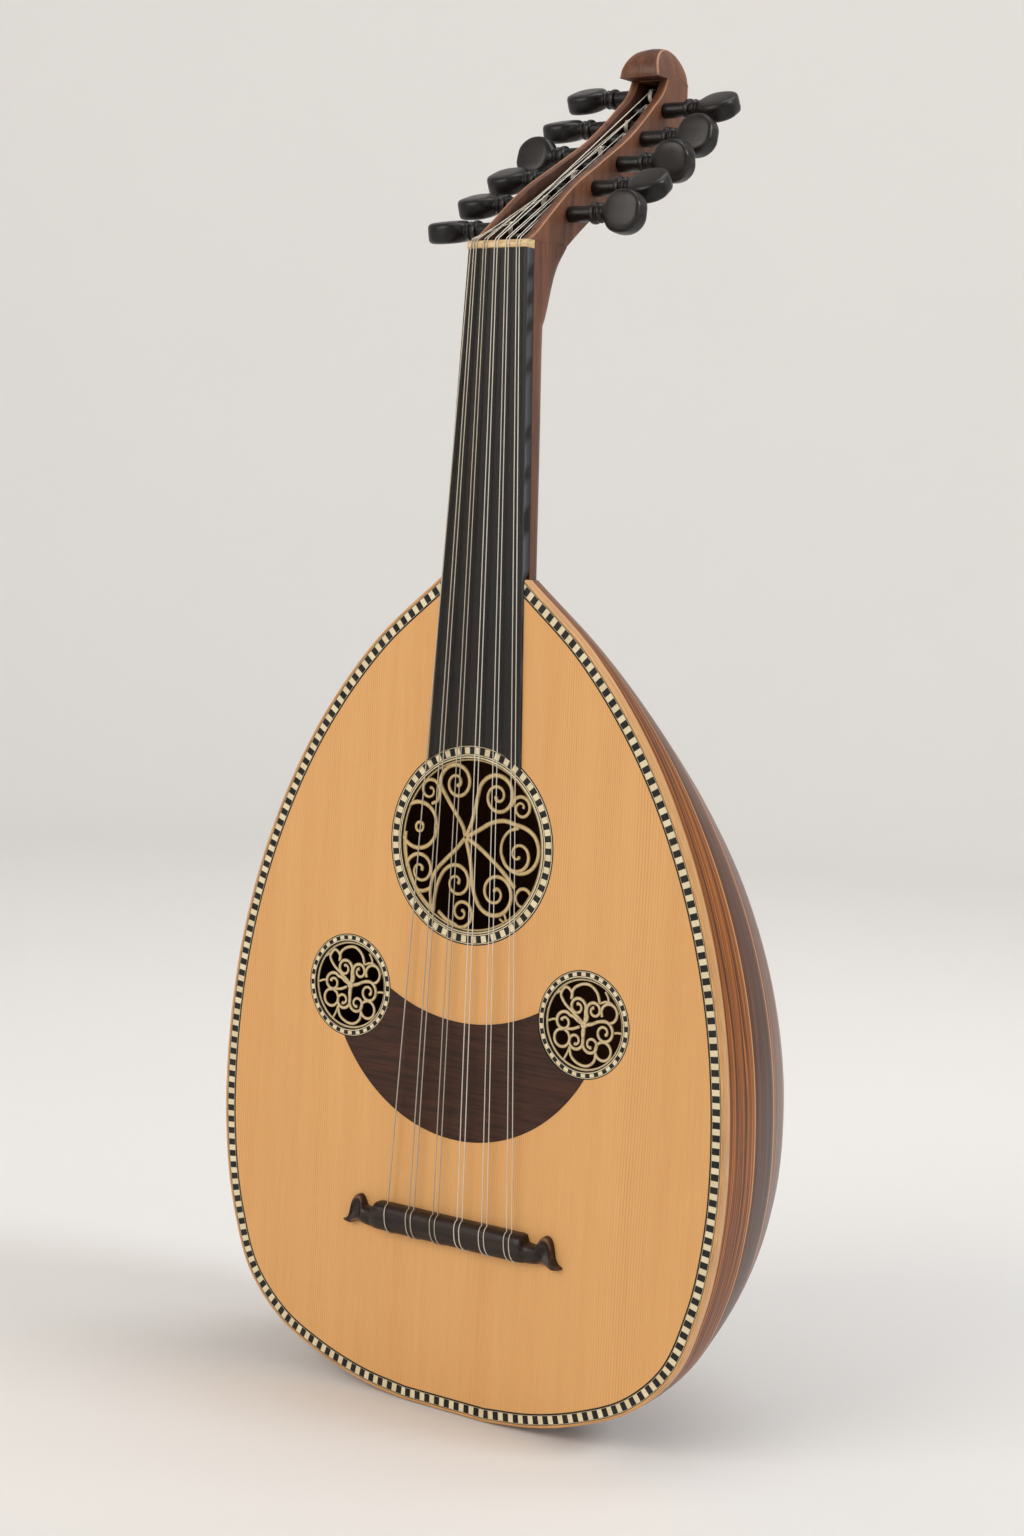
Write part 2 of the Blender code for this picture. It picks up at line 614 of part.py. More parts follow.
def main():
    for old in list(bpy.data.objects):
        bpy.data.objects.remove(old, do_unlink=True)
    build_soundboard()
    build_rim()
    build_braces()
    build_ribs()
    build_end_clasp()
    build_blocks()
    build_rosette("large", 0.0, LARGE_ROSETTE, 48)
    build_rosette("left", -SMALL_ROSETTE[0], SMALL_ROSETTE, 30)
    build_rosette("right", SMALL_ROSETTE[0], SMALL_ROSETTE, 30)
    build_pickguard()
    build_bridge()
    build_fingerboard()
    build_neck()
    build_nut()
    build_cheeks()
    build_pegbox_back()
    build_finial()
    build_pegs()
    build_strings()


main()
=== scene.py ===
"""An oud: a staved bowl, a spruce top with pierced rosettes, a fretless neck and a bent-back pegbox.

The file is laid out as a Blender add-on and is run as a script. Sizes are in millimetres in a
maker's layout: x across, depth backwards from the top's face, z up from the tail.
"""

import math

import bmesh
import bpy
import numpy as np
from mathutils import Matrix


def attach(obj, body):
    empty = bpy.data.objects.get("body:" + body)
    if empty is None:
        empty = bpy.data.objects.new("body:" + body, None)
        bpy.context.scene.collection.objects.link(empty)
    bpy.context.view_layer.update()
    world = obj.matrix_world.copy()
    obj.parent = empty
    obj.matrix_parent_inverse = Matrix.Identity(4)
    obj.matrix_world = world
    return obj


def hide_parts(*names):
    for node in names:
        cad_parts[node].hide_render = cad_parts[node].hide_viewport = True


bl_info = {
    "name": "Oud",
    "version": (1, 0, 0),
    "blender": (4, 5, 0),
    "location": "View3D > Sidebar > Oud",
    "description": "Builds the visible pieces of an oud round its fixed frame",
    "category": "Add Mesh",
}

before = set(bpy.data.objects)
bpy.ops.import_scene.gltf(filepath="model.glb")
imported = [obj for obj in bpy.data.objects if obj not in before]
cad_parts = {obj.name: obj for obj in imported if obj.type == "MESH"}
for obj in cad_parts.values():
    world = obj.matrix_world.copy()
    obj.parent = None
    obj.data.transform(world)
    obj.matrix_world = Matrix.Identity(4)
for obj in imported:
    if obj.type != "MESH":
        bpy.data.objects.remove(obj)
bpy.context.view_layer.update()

MM = 0.001
FACE_DEPTH = 3.1
BODY_LENGTH = 494.0
HALF_OUTLINE = [(30, 0), (62, 4), (98, 14), (130, 29), (155, 53), (171, 91), (180.5, 145), (181, 195),
                (171.5, 270), (149, 342), (114, 408), (76, 455), (30, 494)]
BACK_PROFILE = [(8, 0), (26, 10), (58, 30), (103, 60), (158, 100), (181, 145), (186, 200), (173, 260),
                (146, 320), (107, 375), (62, 430), (37, 468), (27, 494)]
SECTION_POWER = 2.3
RIM_DEPTH = 6.5
RIB_COUNT = 19
RIB_THICKNESS = 2.5
LARGE_ROSETTE = (0.0, 338.0, 58.5, 8.0)
SMALL_ROSETTE = (85.3, 244.0, 30.9, 4.5)
GUARD_TOP, GUARD_BOTTOM = (348.5, 115.5), (265.0, 102.0)
BRIDGE_Z = 109.0
NUT_Z, NUT_HALF_WIDTH, NECK_TAPER = 685.0, 21.0, 0.0415
NUT_LOW, NUT_HIGH, NUT_FRONT = 682.6, 687.3, -3.4
FINGERBOARD_FRONT, FINGERBOARD_BACK, FINGERBOARD_END_RADIUS = -2.0, 5.3, 54.5
NECK_BACK = [(27, 494), (28, 580), (28.5, 640), (30.3, 662), (34.2, 677), (40.5, 687.3)]
CHEEK_TAPER, CHEEK_THICKNESS, BOX_FLOOR = 0.05, 6.0, 5.0
CHEEK_FRONT = [(0.5, 687.6), (6, 691), (18, 701), (44, 722.5), (75, 742), (108, 763), (134, 785),
               (145, 796), (148.5, 803.7)]
BOX_BACK = [(40.5, 687.6), (50.5, 695.4), (103, 731.3), (146, 759.5), (163, 771.5), (173.5, 787), (174, 803.7)]
PEG_LINE = [(29, 697.5), (44, 708), (75, 730), (103, 749), (133, 772), (150, 787.5), (158, 796)]
FINIAL = [(148.8, 804), (136.4, 804), (136.2, 808), (137.8, 813), (141.8, 818), (147.8, 821.8), (155, 823.3),
          (163, 821.6), (169.3, 817), (172.9, 811), (174, 804)]
FINIAL_DRAWN_IN = 0.42
PEG_COUNT = 11
PEG_TIP_RADIUS, PEG_RADIUS = 3.4, 4.2
PEG_PROFILE = [(0, 4.2, 4.2), (0.5, 4.75, 4.75), (1.2, 4.8, 4.8), (8, 4.75, 4.75), (14.6, 4.7, 4.7), (15.7, 4.7, 4.7),
               (16, 5.2, 5.2), (16.5, 6.1, 6.1), (17.4, 6.35, 6.35), (18.4, 6.35, 6.35), (19.3, 6.1, 6.1),
               (20, 5.0, 5.0), (20.6, 4.8, 4.8), (21.2, 5.3, 5.3), (22.2, 5.85, 5.85), (23.2, 5.5, 5.5),
               (24.2, 4.9, 4.9), (26.5, 6.8, 5.3), (29, 9.8, 6.1), (33, 12, 6.4), (38.3, 12.9, 6.5), (43.6, 12, 6.4),
               (47.6, 9.4, 6), (50, 5.6, 5), (50.8, 3.4, 3.4), (51, 2, 2)]
PEG_TURNS = (78, 5, 70, 52, 64, -8, 15, 12, 74, 58, 66)
NUT_PLACES = (-17.4, -15.2, -13.4, -8.4, -6.4, -0.6, 1.4, 7.2, 9.2, 14.8, 16.8)
WINDING_PLACES = (-9.2, -5.3, -3.5, -3, -2.5, -1.5, 1.5, 2.5, 3, 4.1, 7.2)
COURSE_SPACING, PAIR_SPACING = 17.9, 3.7
STRING_RADII = (0.42, 0.38, 0.38, 0.34, 0.34, 0.31, 0.31, 0.28, 0.28, 0.26, 0.26)

# The stage. The camera's turns are yaw, downward pitch and roll in degrees; places and the sweep are in metres.
CAMERA_TURNS = (35.344, 4.408, 2.816)
CAMERA_PLACE = (0.88424, -1.21195, 0.49976)
FOCAL_LENGTH = 60.43
SWEEP_FLAT, SWEEP_BEND, SWEEP_HEIGHT, FLOOR_GAP = 3.0, 1.6, 5.0, 0.0006
COURSES = ((0,), (1, 2), (3, 4), (5, 6), (7, 8), (9, 10))
STRING_PEGS = (0, 2, 4, 6, 8, 10, 9, 7, 5, 3, 1)
WOUND_STRINGS = 5


# ---------------------------------------------------------------- curves

def smooth_line(points, steps):
    """A cubic through the points: each span blends its ends and parabola tangents, cut into steps."""
    corners = np.array(points, float)
    along = np.concatenate([[0.0], np.cumsum(np.linalg.norm(np.diff(corners, axis=0), axis=1))])
    tangents = np.gradient(corners, along, axis=0)
    t = np.linspace(0.0, 1.0, steps, endpoint=False)[None, :, None]
    span = np.diff(along)[:, None, None]
    start, end = corners[:-1, None], corners[1:, None]
    leave, arrive = tangents[:-1, None] * span, tangents[1:, None] * span
    made = ((2 * t**3 - 3 * t**2 + 1) * start + (t**3 - 2 * t**2 + t) * leave
            + (3 * t**2 - 2 * t**3) * end + (t**3 - t**2) * arrive)
    return np.concatenate([made.reshape(-1, corners.shape[1]), corners[-1:]])


def lengths(line):
    """How far along a line each of its points lies."""
    return np.concatenate([[0.0], np.cumsum(np.linalg.norm(np.diff(line, axis=0), axis=1))])


def evenly(line, count):
    """The same line with a number of points at equal distances."""
    along = lengths(line)
    places = np.linspace(0.0, along[-1], count)
    return np.stack([np.interp(places, along, line[:, k]) for k in range(line.shape[1])], axis=1)


def leftwards(line):
    """Unit normals of a flat line, to the left of its direction."""
    tangents = np.gradient(line, axis=0)
    tangents /= np.linalg.norm(tangents, axis=1)[:, None]
    return np.stack([-tangents[:, 1], tangents[:, 0]], axis=1)


OUTLINE = smooth_line(HALF_OUTLINE, 20)
BACK = smooth_line(BACK_PROFILE, 12)


def row_place(x, depth, z):
    """Maker's millimetres to the frame's metres."""
    return np.stack(np.broadcast_arrays(x, np.asarray(depth) - FACE_DEPTH, z), axis=-1) * MM


def neck_half(z):
    return NUT_HALF_WIDTH + NECK_TAPER * (NUT_Z - z)


def cheek_outside(depth):
    return NUT_HALF_WIDTH - CHEEK_TAPER * depth


def rim_path(inset):
    """The body's outline moved inwards, from the left neck corner round the tail to the right one."""
    tangents = np.gradient(OUTLINE, axis=0)
    tangents[0] = (1.0, 0.0)
    tangents /= np.linalg.norm(tangents, axis=1)[:, None]
    moved = OUTLINE + inset * np.stack([-tangents[:, 1], tangents[:, 0]], axis=1)
    right = np.concatenate([[(0.0, inset), (15.0, inset)], moved])
    return np.concatenate([right[:0:-1] * (-1, 1), right])


# ---------------------------------------------------------------- meshes

def capped(rings):
    """Rings of points with each end closed to its middle."""
    return np.concatenate([rings[:1].mean(axis=1, keepdims=True).repeat(rings.shape[1], axis=1), rings,
                           rings[-1:].mean(axis=1, keepdims=True).repeat(rings.shape[1], axis=1)])


def padded_rows(values):
    """Repeats the first and last rows, to match capped rings."""
    return np.concatenate([values[:1], values, values[-1:]])


class Surface:
    """Gathers grids of points into one mesh, with a UV map called shape and a per-point value for rubbed wear,
    painted highlight and painted shade.
    """

    def __init__(self):
        self.points, self.quads, self.corners, self.wear_and_painted_light, self.total = [], [], [], [], 0

    def walls(self, front, back, wear_and_painted_light=None):
        """Joins the four edges of two grids by strips."""
        for near, far in ((front[0], back[0]), (front[-1], back[-1]), (front[:, 0], back[:, 0]),
                          (front[:, -1], back[:, -1])):
            self.grid(np.stack([near, far]), wear_and_painted_light=wear_and_painted_light)

    def grid(self, points, uv=None, wrap=(False, False), wear_and_painted_light=None):
        """Adds a grid of rows and columns: every cell is a face, and a wrapped way joins end to start."""
        rows, columns = points.shape[:2]
        i, j = np.meshgrid(np.arange(rows - (not wrap[0])), np.arange(columns - (not wrap[1])), indexing="ij")
        under, over = (i + 1) % rows, (j + 1) % columns
        quads = np.stack([i * columns + j, i * columns + over, under * columns + over, under * columns + j], -1)
        if uv is None:
            uv = np.stack(np.meshgrid(np.linspace(0, 1, rows + wrap[0]), np.linspace(0, 1, columns + wrap[1]),
                                      indexing="ij"), -1)
        corners = np.stack([uv[i, j], uv[i, j + 1], uv[i + 1, j + 1], uv[i + 1, j]], axis=2)
        self.points.append(points.reshape(-1, 3))
        self.quads.append(quads.reshape(-1, 4) + self.total)
        self.corners.append(corners.reshape(-1, 2))
        self.wear_and_painted_light.append(np.zeros(rows * columns) if wear_and_painted_light is None
                         else np.broadcast_to(wear_and_painted_light, (rows, columns)).reshape(-1))
        self.total += rows * columns
        return self

    def rings(self, rings, uv=None, wear_and_painted_light=None):
        """Adds closed rings with closed ends."""
        return self.grid(capped(rings), None if uv is None else padded_rows(uv), (False, True),
                         None if wear_and_painted_light is None else padded_rows(np.broadcast_to(wear_and_painted_light, rings.shape[:2])))

    def make(self, name, finish, nodes=(), body="root", slot=None, bend=35.0):
        """Turns the grids into a finished piece that rides on a body and stands for CAD nodes."""
        mesh = bpy.data.meshes.new(name)
        mesh.from_pydata(np.concatenate(self.points).tolist(), [], np.concatenate(self.quads).tolist())
        mesh.uv_layers.new(name="shape").data.foreach_set("uv", np.concatenate(self.corners).ravel())
        wear_and_painted_light = mesh.attributes.new("wear_and_painted_light", "FLOAT", "POINT")
        wear_and_painted_light.data.foreach_set("value", np.concatenate(self.wear_and_painted_light))
        work = bmesh.new()
        work.from_mesh(mesh)
        bmesh.ops.remove_doubles(work, verts=work.verts, dist=2e-6)
        bmesh.ops.dissolve_degenerate(work, dist=1e-7, edges=work.edges)
        bmesh.ops.recalc_face_normals(work, faces=work.faces)
        work.to_mesh(mesh)
        work.free()
        mesh.shade_smooth()
        mesh.set_sharp_from_angle(angle=math.radians(bend))
        mesh.materials.append(finish)
        piece = bpy.data.objects.new(name, mesh)
        bpy.context.scene.collection.objects.link(piece)
        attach(piece, body)
        if nodes:
            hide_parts(*nodes)
        return piece


def tube_rings(path, wide, thick, sides=8, sideways=(1.0, 0.0, 0.0)):
    """An oval carried along a path: its long axis is sideways made square to the path."""
    path = np.asarray(path, float)
    tangents = np.gradient(path, axis=0)
    tangents /= np.linalg.norm(tangents, axis=1)[:, None]
    side = np.array(sideways) - (tangents @ np.array(sideways))[:, None] * tangents
    side /= np.linalg.norm(side, axis=1)[:, None]
    front = np.cross(tangents, side)
    angle = np.linspace(0, 2 * np.pi, sides, endpoint=False)
    wide, thick = (np.broadcast_to(v, len(path))[:, None, None] for v in (wide, thick))
    return (path[:, None] + wide * side[:, None] * np.cos(angle)[None, :, None]
            + thick * front[:, None] * np.sin(angle)[None, :, None])


def length_uv(path, sides):
    """UVs for rings along a path: metres along, then shares of the way round."""
    return np.stack(np.meshgrid(lengths(path), np.linspace(0, 1, sides + 1), indexing="ij"), -1)


# ---------------------------------------------------------------- shaders

def tint(red, green, blue):
    """A colour given on a 0 to 255 scale, as linear light with full alpha."""
    mixed = np.array([red, green, blue]) / 255
    return tuple(np.where(mixed <= 0.04045, mixed / 12.92, ((mixed + 0.055) / 1.055) ** 2.4)) + (1.0,)


class Wire:
    """One output of a shader node. Arithmetic on it adds Math nodes."""

    def __init__(self, shader, socket):
        self.shader, self.socket = shader, socket

    def maths(self, operation, *others):
        return self.shader.node("ShaderNodeMath", {"operation": operation}, self, *others)

    def __add__(self, other):
        return self.maths("ADD", other)

    __radd__ = __add__

    def __mul__(self, other):
        return self.maths("MULTIPLY", other)

    __rmul__ = __mul__

    def __sub__(self, other):
        return self.maths("SUBTRACT", other)

    def __rsub__(self, other):
        return self.shader.node("ShaderNodeMath", {"operation": "SUBTRACT"}, other, self)

    def __truediv__(self, other):
        return self.maths("DIVIDE", other)

    def __pow__(self, other):
        return self.maths("POWER", other)

    def above(self, limit):
        return self.maths("GREATER_THAN", limit)

    def below(self, limit):
        return self.maths("LESS_THAN", limit)

    def between(self, low, high):
        """0 below low, 1 above high and an even rise between them."""
        return self.shader.node("ShaderNodeMapRange", None, self, low, high, 0.0, 1.0)


class Shader:
    """A material being made. Its principled shader takes uniform numbers from the start."""

    def __init__(self, name, **uniform):
        self.material = bpy.data.materials.new(name)
        self.material.use_nodes = True
        self.tree = self.material.node_tree
        self.tree.nodes.clear()
        self.body = self.tree.nodes.new("ShaderNodeBsdfPrincipled")
        output = self.tree.nodes.new("ShaderNodeOutputMaterial")
        self.tree.links.new(self.body.outputs[0], output.inputs[0])
        self.set(self.body, uniform.items())

    def set(self, made, pairs):
        for place, value in pairs:
            socket = made.inputs[place.replace("_", " ") if isinstance(place, str) else place]
            if isinstance(value, Wire):
                self.tree.links.new(value.socket, socket)
            elif value is not None:
                socket.default_value = value

    def node(self, kind, settings=None, *values, output=0, **named):
        """Any other node: its type, its settings, then the values or wires of its sockets."""
        made = self.tree.nodes.new(kind)
        for key, value in (settings or {}).items():
            if key == "stops":
                ramp = made.color_ramp
                for k, (place, colour) in enumerate(value):
                    stop = ramp.elements[k] if k < 2 else ramp.elements.new(place)
                    stop.position, stop.color = place, colour
            else:
                setattr(made, key, value)
        self.set(made, list(enumerate(values)) + list(named.items()))
        return Wire(self, made.outputs[output])

    def place(self, scale=(1.0, 1.0, 1.0), turn=(0.0, 0.0, 0.0)):
        where = self.node("ShaderNodeTexCoord", output="Object")
        return self.node("ShaderNodeMapping", None, where, Scale=scale, Rotation=turn)

    def split(self, vector):
        made = self.tree.nodes.new("ShaderNodeSeparateXYZ")
        self.tree.links.new(vector.socket, made.inputs[0])
        return [Wire(self, socket) for socket in made.outputs]

    def join(self, *parts):
        return self.node("ShaderNodeCombineXYZ", None, *parts)

    def shape_uv(self):
        return self.split(self.node("ShaderNodeUVMap", {"uv_map": "shape"}))[:2]

    def noise(self, vector, scale=1.0, detail=2.0, roughness=0.5):
        return self.node("ShaderNodeTexNoise", None, vector, Scale=scale, Detail=detail, Roughness=roughness)

    def chance(self, vector):
        """A different random number for every whole step of a vector."""
        return self.node("ShaderNodeTexWhiteNoise", {"noise_dimensions": "3D"}, vector)

    def mix(self, share, first, second):
        return self.node("ShaderNodeMix", {"data_type": "RGBA", "blend_type": "MIX", "clamp_factor": True},
                         share, None, None, None, None, None, first, second, output=2)

    def ramp(self, value, *stops):
        return self.node("ShaderNodeValToRGB", {"stops": stops}, value)

    # The per-point value: rubbed wear on some pieces, a painted highlight on lit edges and crests, and painted shade
    # where it is below zero.
    def wear_and_painted_light(self):
        return self.node("ShaderNodeAttribute", {"attribute_name": "wear_and_painted_light"}, output="Fac")

    def finish(self, colour, roughness=None, height=None, depth=0.0002, strength=0.5):
        """Joins the colour, roughness and bump to the shader."""
        self.set(self.body, [("Base Color", colour), ("Roughness", roughness)])
        if height is not None:
            bump = self.node("ShaderNodeBump", None, Strength=strength, Distance=depth, Height=height)
            self.set(self.body, [("Normal", bump)])
        return self.material


def make_spruce(look):
    """Quarter-sawn top: growth lines drawn by a sine of x that wanders slowly with height."""
    s = Shader("spruce_top", Coat_Weight=0.12, Coat_Roughness=0.3, Specular_IOR_Level=0.35)
    x, _, _ = s.split(s.place())
    wander = s.noise(s.place((9, 1, 2.2)), detail=2) - 0.5
    across = x * 1000 + wander * 9
    spacing = s.noise(s.place((11, 1, 0.6)), detail=1) * 0.5 + 1.1
    lines = (across / spacing * 2 * math.pi).maths("SINE") * 0.5 + 0.5
    late = lines ** 3
    strength = s.noise(s.place((70, 1, 3)), detail=2).between(0.3, 0.75)
    fibre = s.noise(s.place((2600, 400, 26)), detail=2)
    band = s.noise(s.place((60, 1, 1.2)), detail=3)
    silk = s.noise(s.place((240, 1, 30)), detail=2).between(0.55, 0.85)
    colour = s.mix(late * (strength * 0.5 + 0.18), tuple(look.spruce_light), tuple(look.spruce_dark))
    colour = s.mix(band.between(0.35, 0.7) * 0.3, colour, tint(212, 152, 88))
    colour = s.mix(fibre.between(0.45, 0.75) * 0.16, colour, tint(176, 118, 66))
    colour = s.mix(silk * 0.1, colour, tint(242, 202, 148))
    return s.finish(colour, 0.4 + fibre * 0.16, late * 0.6 + fibre * 0.4, 0.00012, 0.25)


def make_rosewood(look):
    """Rib stock: streaks run up each rib, every rib has its own tone, and light lines mark the joints."""
    s = Shader("rosewood_ribs", Coat_Weight=0.2, Coat_Roughness=0.08, Specular_IOR_Level=0.15)
    u, v = s.shape_uv()
    rib = u.maths("FLOOR")
    share = u.maths("FRACT")
    own = s.chance(s.join(rib, 3.0, 1.0))
    wander = (s.noise(s.join(u * 2, v * 4, own * 9), detail=2) - 0.5) * 0.5
    broad = s.noise(s.join((u + wander) * 12, v * 1.5, own * 30), detail=4, roughness=0.6)
    fine = s.noise(s.join((u + wander * 0.5) * 60, v * 5, own * 11), detail=3)
    pores = s.noise(s.join(u * 190, v * 42, own), detail=2)
    tone = broad * 0.5 + fine * 0.5 + (own - 0.5) * 0.1
    colour = s.ramp(tone, (0.3, tint(26, 11, 4)), (0.43, tuple(look.rosewood)), (0.53, tint(108, 53, 15)),
                    (0.65, tint(196, 116, 38)))
    colour = s.mix(pores.between(0.56, 0.72) * 0.5, colour, tint(24, 10, 6))
    line = (share.below(0.026) + share.above(0.974)).maths("MINIMUM", 1.0)
    colour = s.mix(line * 0.85, colour, tint(214, 150, 88))
    colour = s.mix(s.wear_and_painted_light(), colour, tint(104, 68, 46))
    return s.finish(colour, 0.26 + pores * 0.12 + s.wear_and_painted_light() * 0.4, pores * -0.5 + line * 0.3, 0.00008, 0.3)


def make_walnut(name, light, dark, edge, turn=0.0, along=(900, 900, 26)):
    """Oiled hardwood: long streaks and short dark pores, paler along edges with rubbed wear and a painted highlight,
    and darker with painted shade where the per-point value is below zero.
    """
    s = Shader(name, Coat_Weight=0.12, Coat_Roughness=0.35, Specular_IOR_Level=0.4)
    turned = (turn, 0.0, 0.0)
    scale = np.array(along) / 900.0
    streak = s.noise(s.place(tuple(scale * 160), turned), detail=4, roughness=0.6)
    pores = s.noise(s.place(tuple(scale * 1500), turned), detail=2)
    cloud = s.noise(s.place((22, 22, 14)), detail=3)
    colour = s.mix((streak * 0.7 + cloud * 0.3).between(0.34, 0.66), dark, light)
    colour = s.mix(pores.between(0.54, 0.7) * 0.55, colour, tuple(np.array(dark) * 0.45))
    wear_and_painted_light = s.wear_and_painted_light() * (s.noise(s.place((90, 90, 90)), detail=3).between(0.2, 0.6) * 0.35 + 0.65)
    # Edge colour: rubbed wear together with a painted highlight on rounded arrises.
    colour = s.mix(wear_and_painted_light, colour, edge)
    # Painted shade: a value below zero darkens towards a third of the dark tone.
    colour = s.mix(s.wear_and_painted_light() * -1.0, colour, tuple(np.array(dark) * (0.3, 0.3, 0.3, 1.0)))
    return s.finish(colour, 0.42 + pores * 0.14, pores * -1.0, 0.0001, 0.35)


def make_ebony(name="ebony", dark=(34, 29, 26), light=(66, 55, 47), edge=(122, 88, 64), turn=(0.0, 0.0, 0.0),
               roughness=0.3, along=(1.0, 1.0, 0.04)):
    """Polished dark wood with faint brown streaks and an edge colour: rubbed wear on the bridge, a painted highlight
    on the fingerboard's rounded edges, and both on the pegs.
    """
    s = Shader(name, Coat_Weight=0.08, Coat_Roughness=0.2, Specular_IOR_Level=0.3)
    stretch = np.array(along)
    streak = s.noise(s.place(tuple(stretch * 420), turn), detail=4, roughness=0.65)
    pores = s.noise(s.place(tuple(stretch * 2400), turn), detail=2)
    colour = s.mix(streak.between(0.42, 0.72), tint(*dark), tint(*light))
    colour = s.mix(pores.between(0.55, 0.7) * 0.5, colour, tint(16, 13, 12))
    smudge = s.noise(s.place((38, 38, 38)), detail=3)
    wear_and_painted_light = s.wear_and_painted_light() * (s.noise(s.place(tuple(stretch * 210), turn), detail=3).between(0.3, 0.65) * 0.5 + 0.5)
    # Edge colour by the per-point value: rubbed wear, and on the fingerboard and pegs a painted highlight.
    colour = s.mix(wear_and_painted_light, colour, tint(*edge))
    return s.finish(colour, roughness + smudge * 0.14 + pores * 0.06, pores * -1.0, 0.00006, 0.3)


def make_maple(look):
    """Golden edge strip with fine grain along it, darker in its pores."""
    s = Shader("edge_maple", Coat_Weight=0.6, Coat_Roughness=0.15)
    u, v = s.shape_uv()
    grain = s.noise(s.join(u * 60, v * 3500, 1.0), detail=3)
    cloud = s.noise(s.place((30, 30, 30)), detail=3)
    colour = s.mix(grain.between(0.35, 0.7), tuple(look.edge_light), tint(176, 118, 62))
    colour = s.mix(cloud.between(0.5, 0.8) * 0.35, colour, tint(150, 94, 48))
    return s.finish(colour, 0.34 + grain * 0.12, grain, 0.00005, 0.25)


def bands(across, *spans):
    """1 inside any of the spans of distance, 0 elsewhere."""
    inside = across.above(spans[0][0]) * across.below(spans[0][1])
    for low, high in spans[1:]:
        inside = inside + across.above(low) * across.below(high)
    return inside


def make_inlay(look, name, black_share, block_span, cream_spans):
    """Black wood let in round an edge: a row of alternating blocks between pale lines.

    The uv map counts pairs of blocks along the edge, and millimetres in from the edge across it.
    """
    s = Shader(name, Coat_Weight=0.1, Coat_Roughness=0.2, Specular_IOR_Level=0.25)
    along, across = s.shape_uv()
    step = along.maths("FRACT")
    black = step.below(black_share)
    own = s.chance(s.join(along.maths("FLOOR"), black, 5.0))
    speck = s.noise(s.place((900, 900, 900)), detail=3)
    grain = s.noise(s.place((2400, 900, 300)), detail=2)
    cream = s.mix(own * 0.55, tuple(look.cream), tint(204, 184, 142))
    cream = s.mix(speck.between(0.5, 0.75) * 0.35, cream, tint(172, 144, 102))
    cream = s.mix(grain.between(0.5, 0.7) * 0.25, cream, tint(240, 230, 206))
    ink = s.mix(own * 0.5 + speck * 0.2, tint(14, 13, 12), tint(40, 34, 30))
    joint = (step - black_share).maths("ABSOLUTE").below(0.02)
    blocks = s.mix(joint * 0.6, s.mix(black, cream, ink), tint(60, 44, 30))
    colour = s.mix(bands(across, block_span), ink, blocks)
    line = s.mix(speck.between(0.4, 0.7) * 0.5, tint(226, 210, 172), tint(188, 160, 116))
    colour = s.mix(bands(across, *cream_spans), colour, line)
    return s.finish(colour, 0.32 + speck * 0.16, speck * 0.6 + grain * 0.4, 0.00005, 0.25)


def make_grille(name, low, high):
    """Carved scrollwork: a painted highlight on its crests and painted shade down its sides, pale tool marks painted
    as glints on the crests only, and dirt.
    """
    s = Shader(name, Coat_Weight=0.1, Coat_Roughness=0.4)
    # The crest value paints the light: low is painted shade down the sides, high a painted highlight on the crests.
    crest = s.wear_and_painted_light()
    dirt = s.noise(s.place((420, 420, 420)), detail=4, roughness=0.65)
    marks = s.noise(s.place((1500, 600, 1500)), detail=2)
    colour = s.mix(crest.between(0.2, 0.95), tint(*low), tint(*high))
    colour = s.mix(dirt.between(0.52, 0.74) * 0.55, colour, tint(104, 76, 44))
    # Painted glints: pale tool marks shown on the crests only.
    colour = s.mix(marks.between(0.6, 0.75) * crest * 0.4, colour, tint(244, 228, 190))
    return s.finish(colour, 0.42 + dirt * 0.2, dirt * 0.6 + marks * 0.4, 0.0002, 0.4)


def make_guard(look):
    """Dark scratch plate: straight fine figure, a thin black rim from its wear value."""
    s = Shader("guard_wood", Coat_Weight=0.05, Coat_Roughness=0.3, Specular_IOR_Level=0.25)
    streak = s.noise(s.place((34, 90, 520)), detail=4, roughness=0.6)
    pores = s.noise(s.place((260, 400, 2600)), detail=2)
    colour = s.mix(streak.between(0.36, 0.68), tuple(look.guard), tint(72, 41, 25))
    colour = s.mix(pores.between(0.54, 0.7) * 0.5, colour, tint(44, 26, 20))
    colour = s.mix(s.wear_and_painted_light(), colour, tint(22, 14, 12))
    return s.finish(colour, 0.36 + pores * 0.14, pores * -1.0, 0.00006, 0.3)


def make_bone():
    """Polished bone, warmer in its pores."""
    s = Shader("bone", Coat_Weight=0.3, Coat_Roughness=0.2, Subsurface_Weight=0.05)
    speck = s.noise(s.place((260, 260, 900)), detail=4)
    colour = s.mix(speck.between(0.4, 0.75), tint(226, 196, 148), tint(182, 138, 84))
    return s.finish(colour, 0.32 + speck * 0.15, speck, 0.00006, 0.3)


def make_string(name, colour, turns):
    """Nylon, or silvered winding whose turns are a sine along the string."""
    s = Shader(name, Metallic=0.55 if turns else 0.0, Coat_Weight=0.3, Coat_Roughness=0.15)
    along, _ = s.shape_uv()
    wire = (along * (2 * math.pi * 1000 * max(turns, 0.4))).maths("SINE") * 0.5 + 0.5
    dull = s.noise(s.place((60, 60, 60)), detail=2)
    shade = s.mix(wire * (0.5 if turns else 0.1), tint(*colour), tint(*[c * 0.66 for c in colour]))
    shade = s.mix(dull.between(0.45, 0.75) * 0.25, shade, tint(*[c * 0.8 for c in colour]))
    return s.finish(shade, 0.28 + dull * 0.12, wire, 0.00008, 0.4 if turns else 0.05)


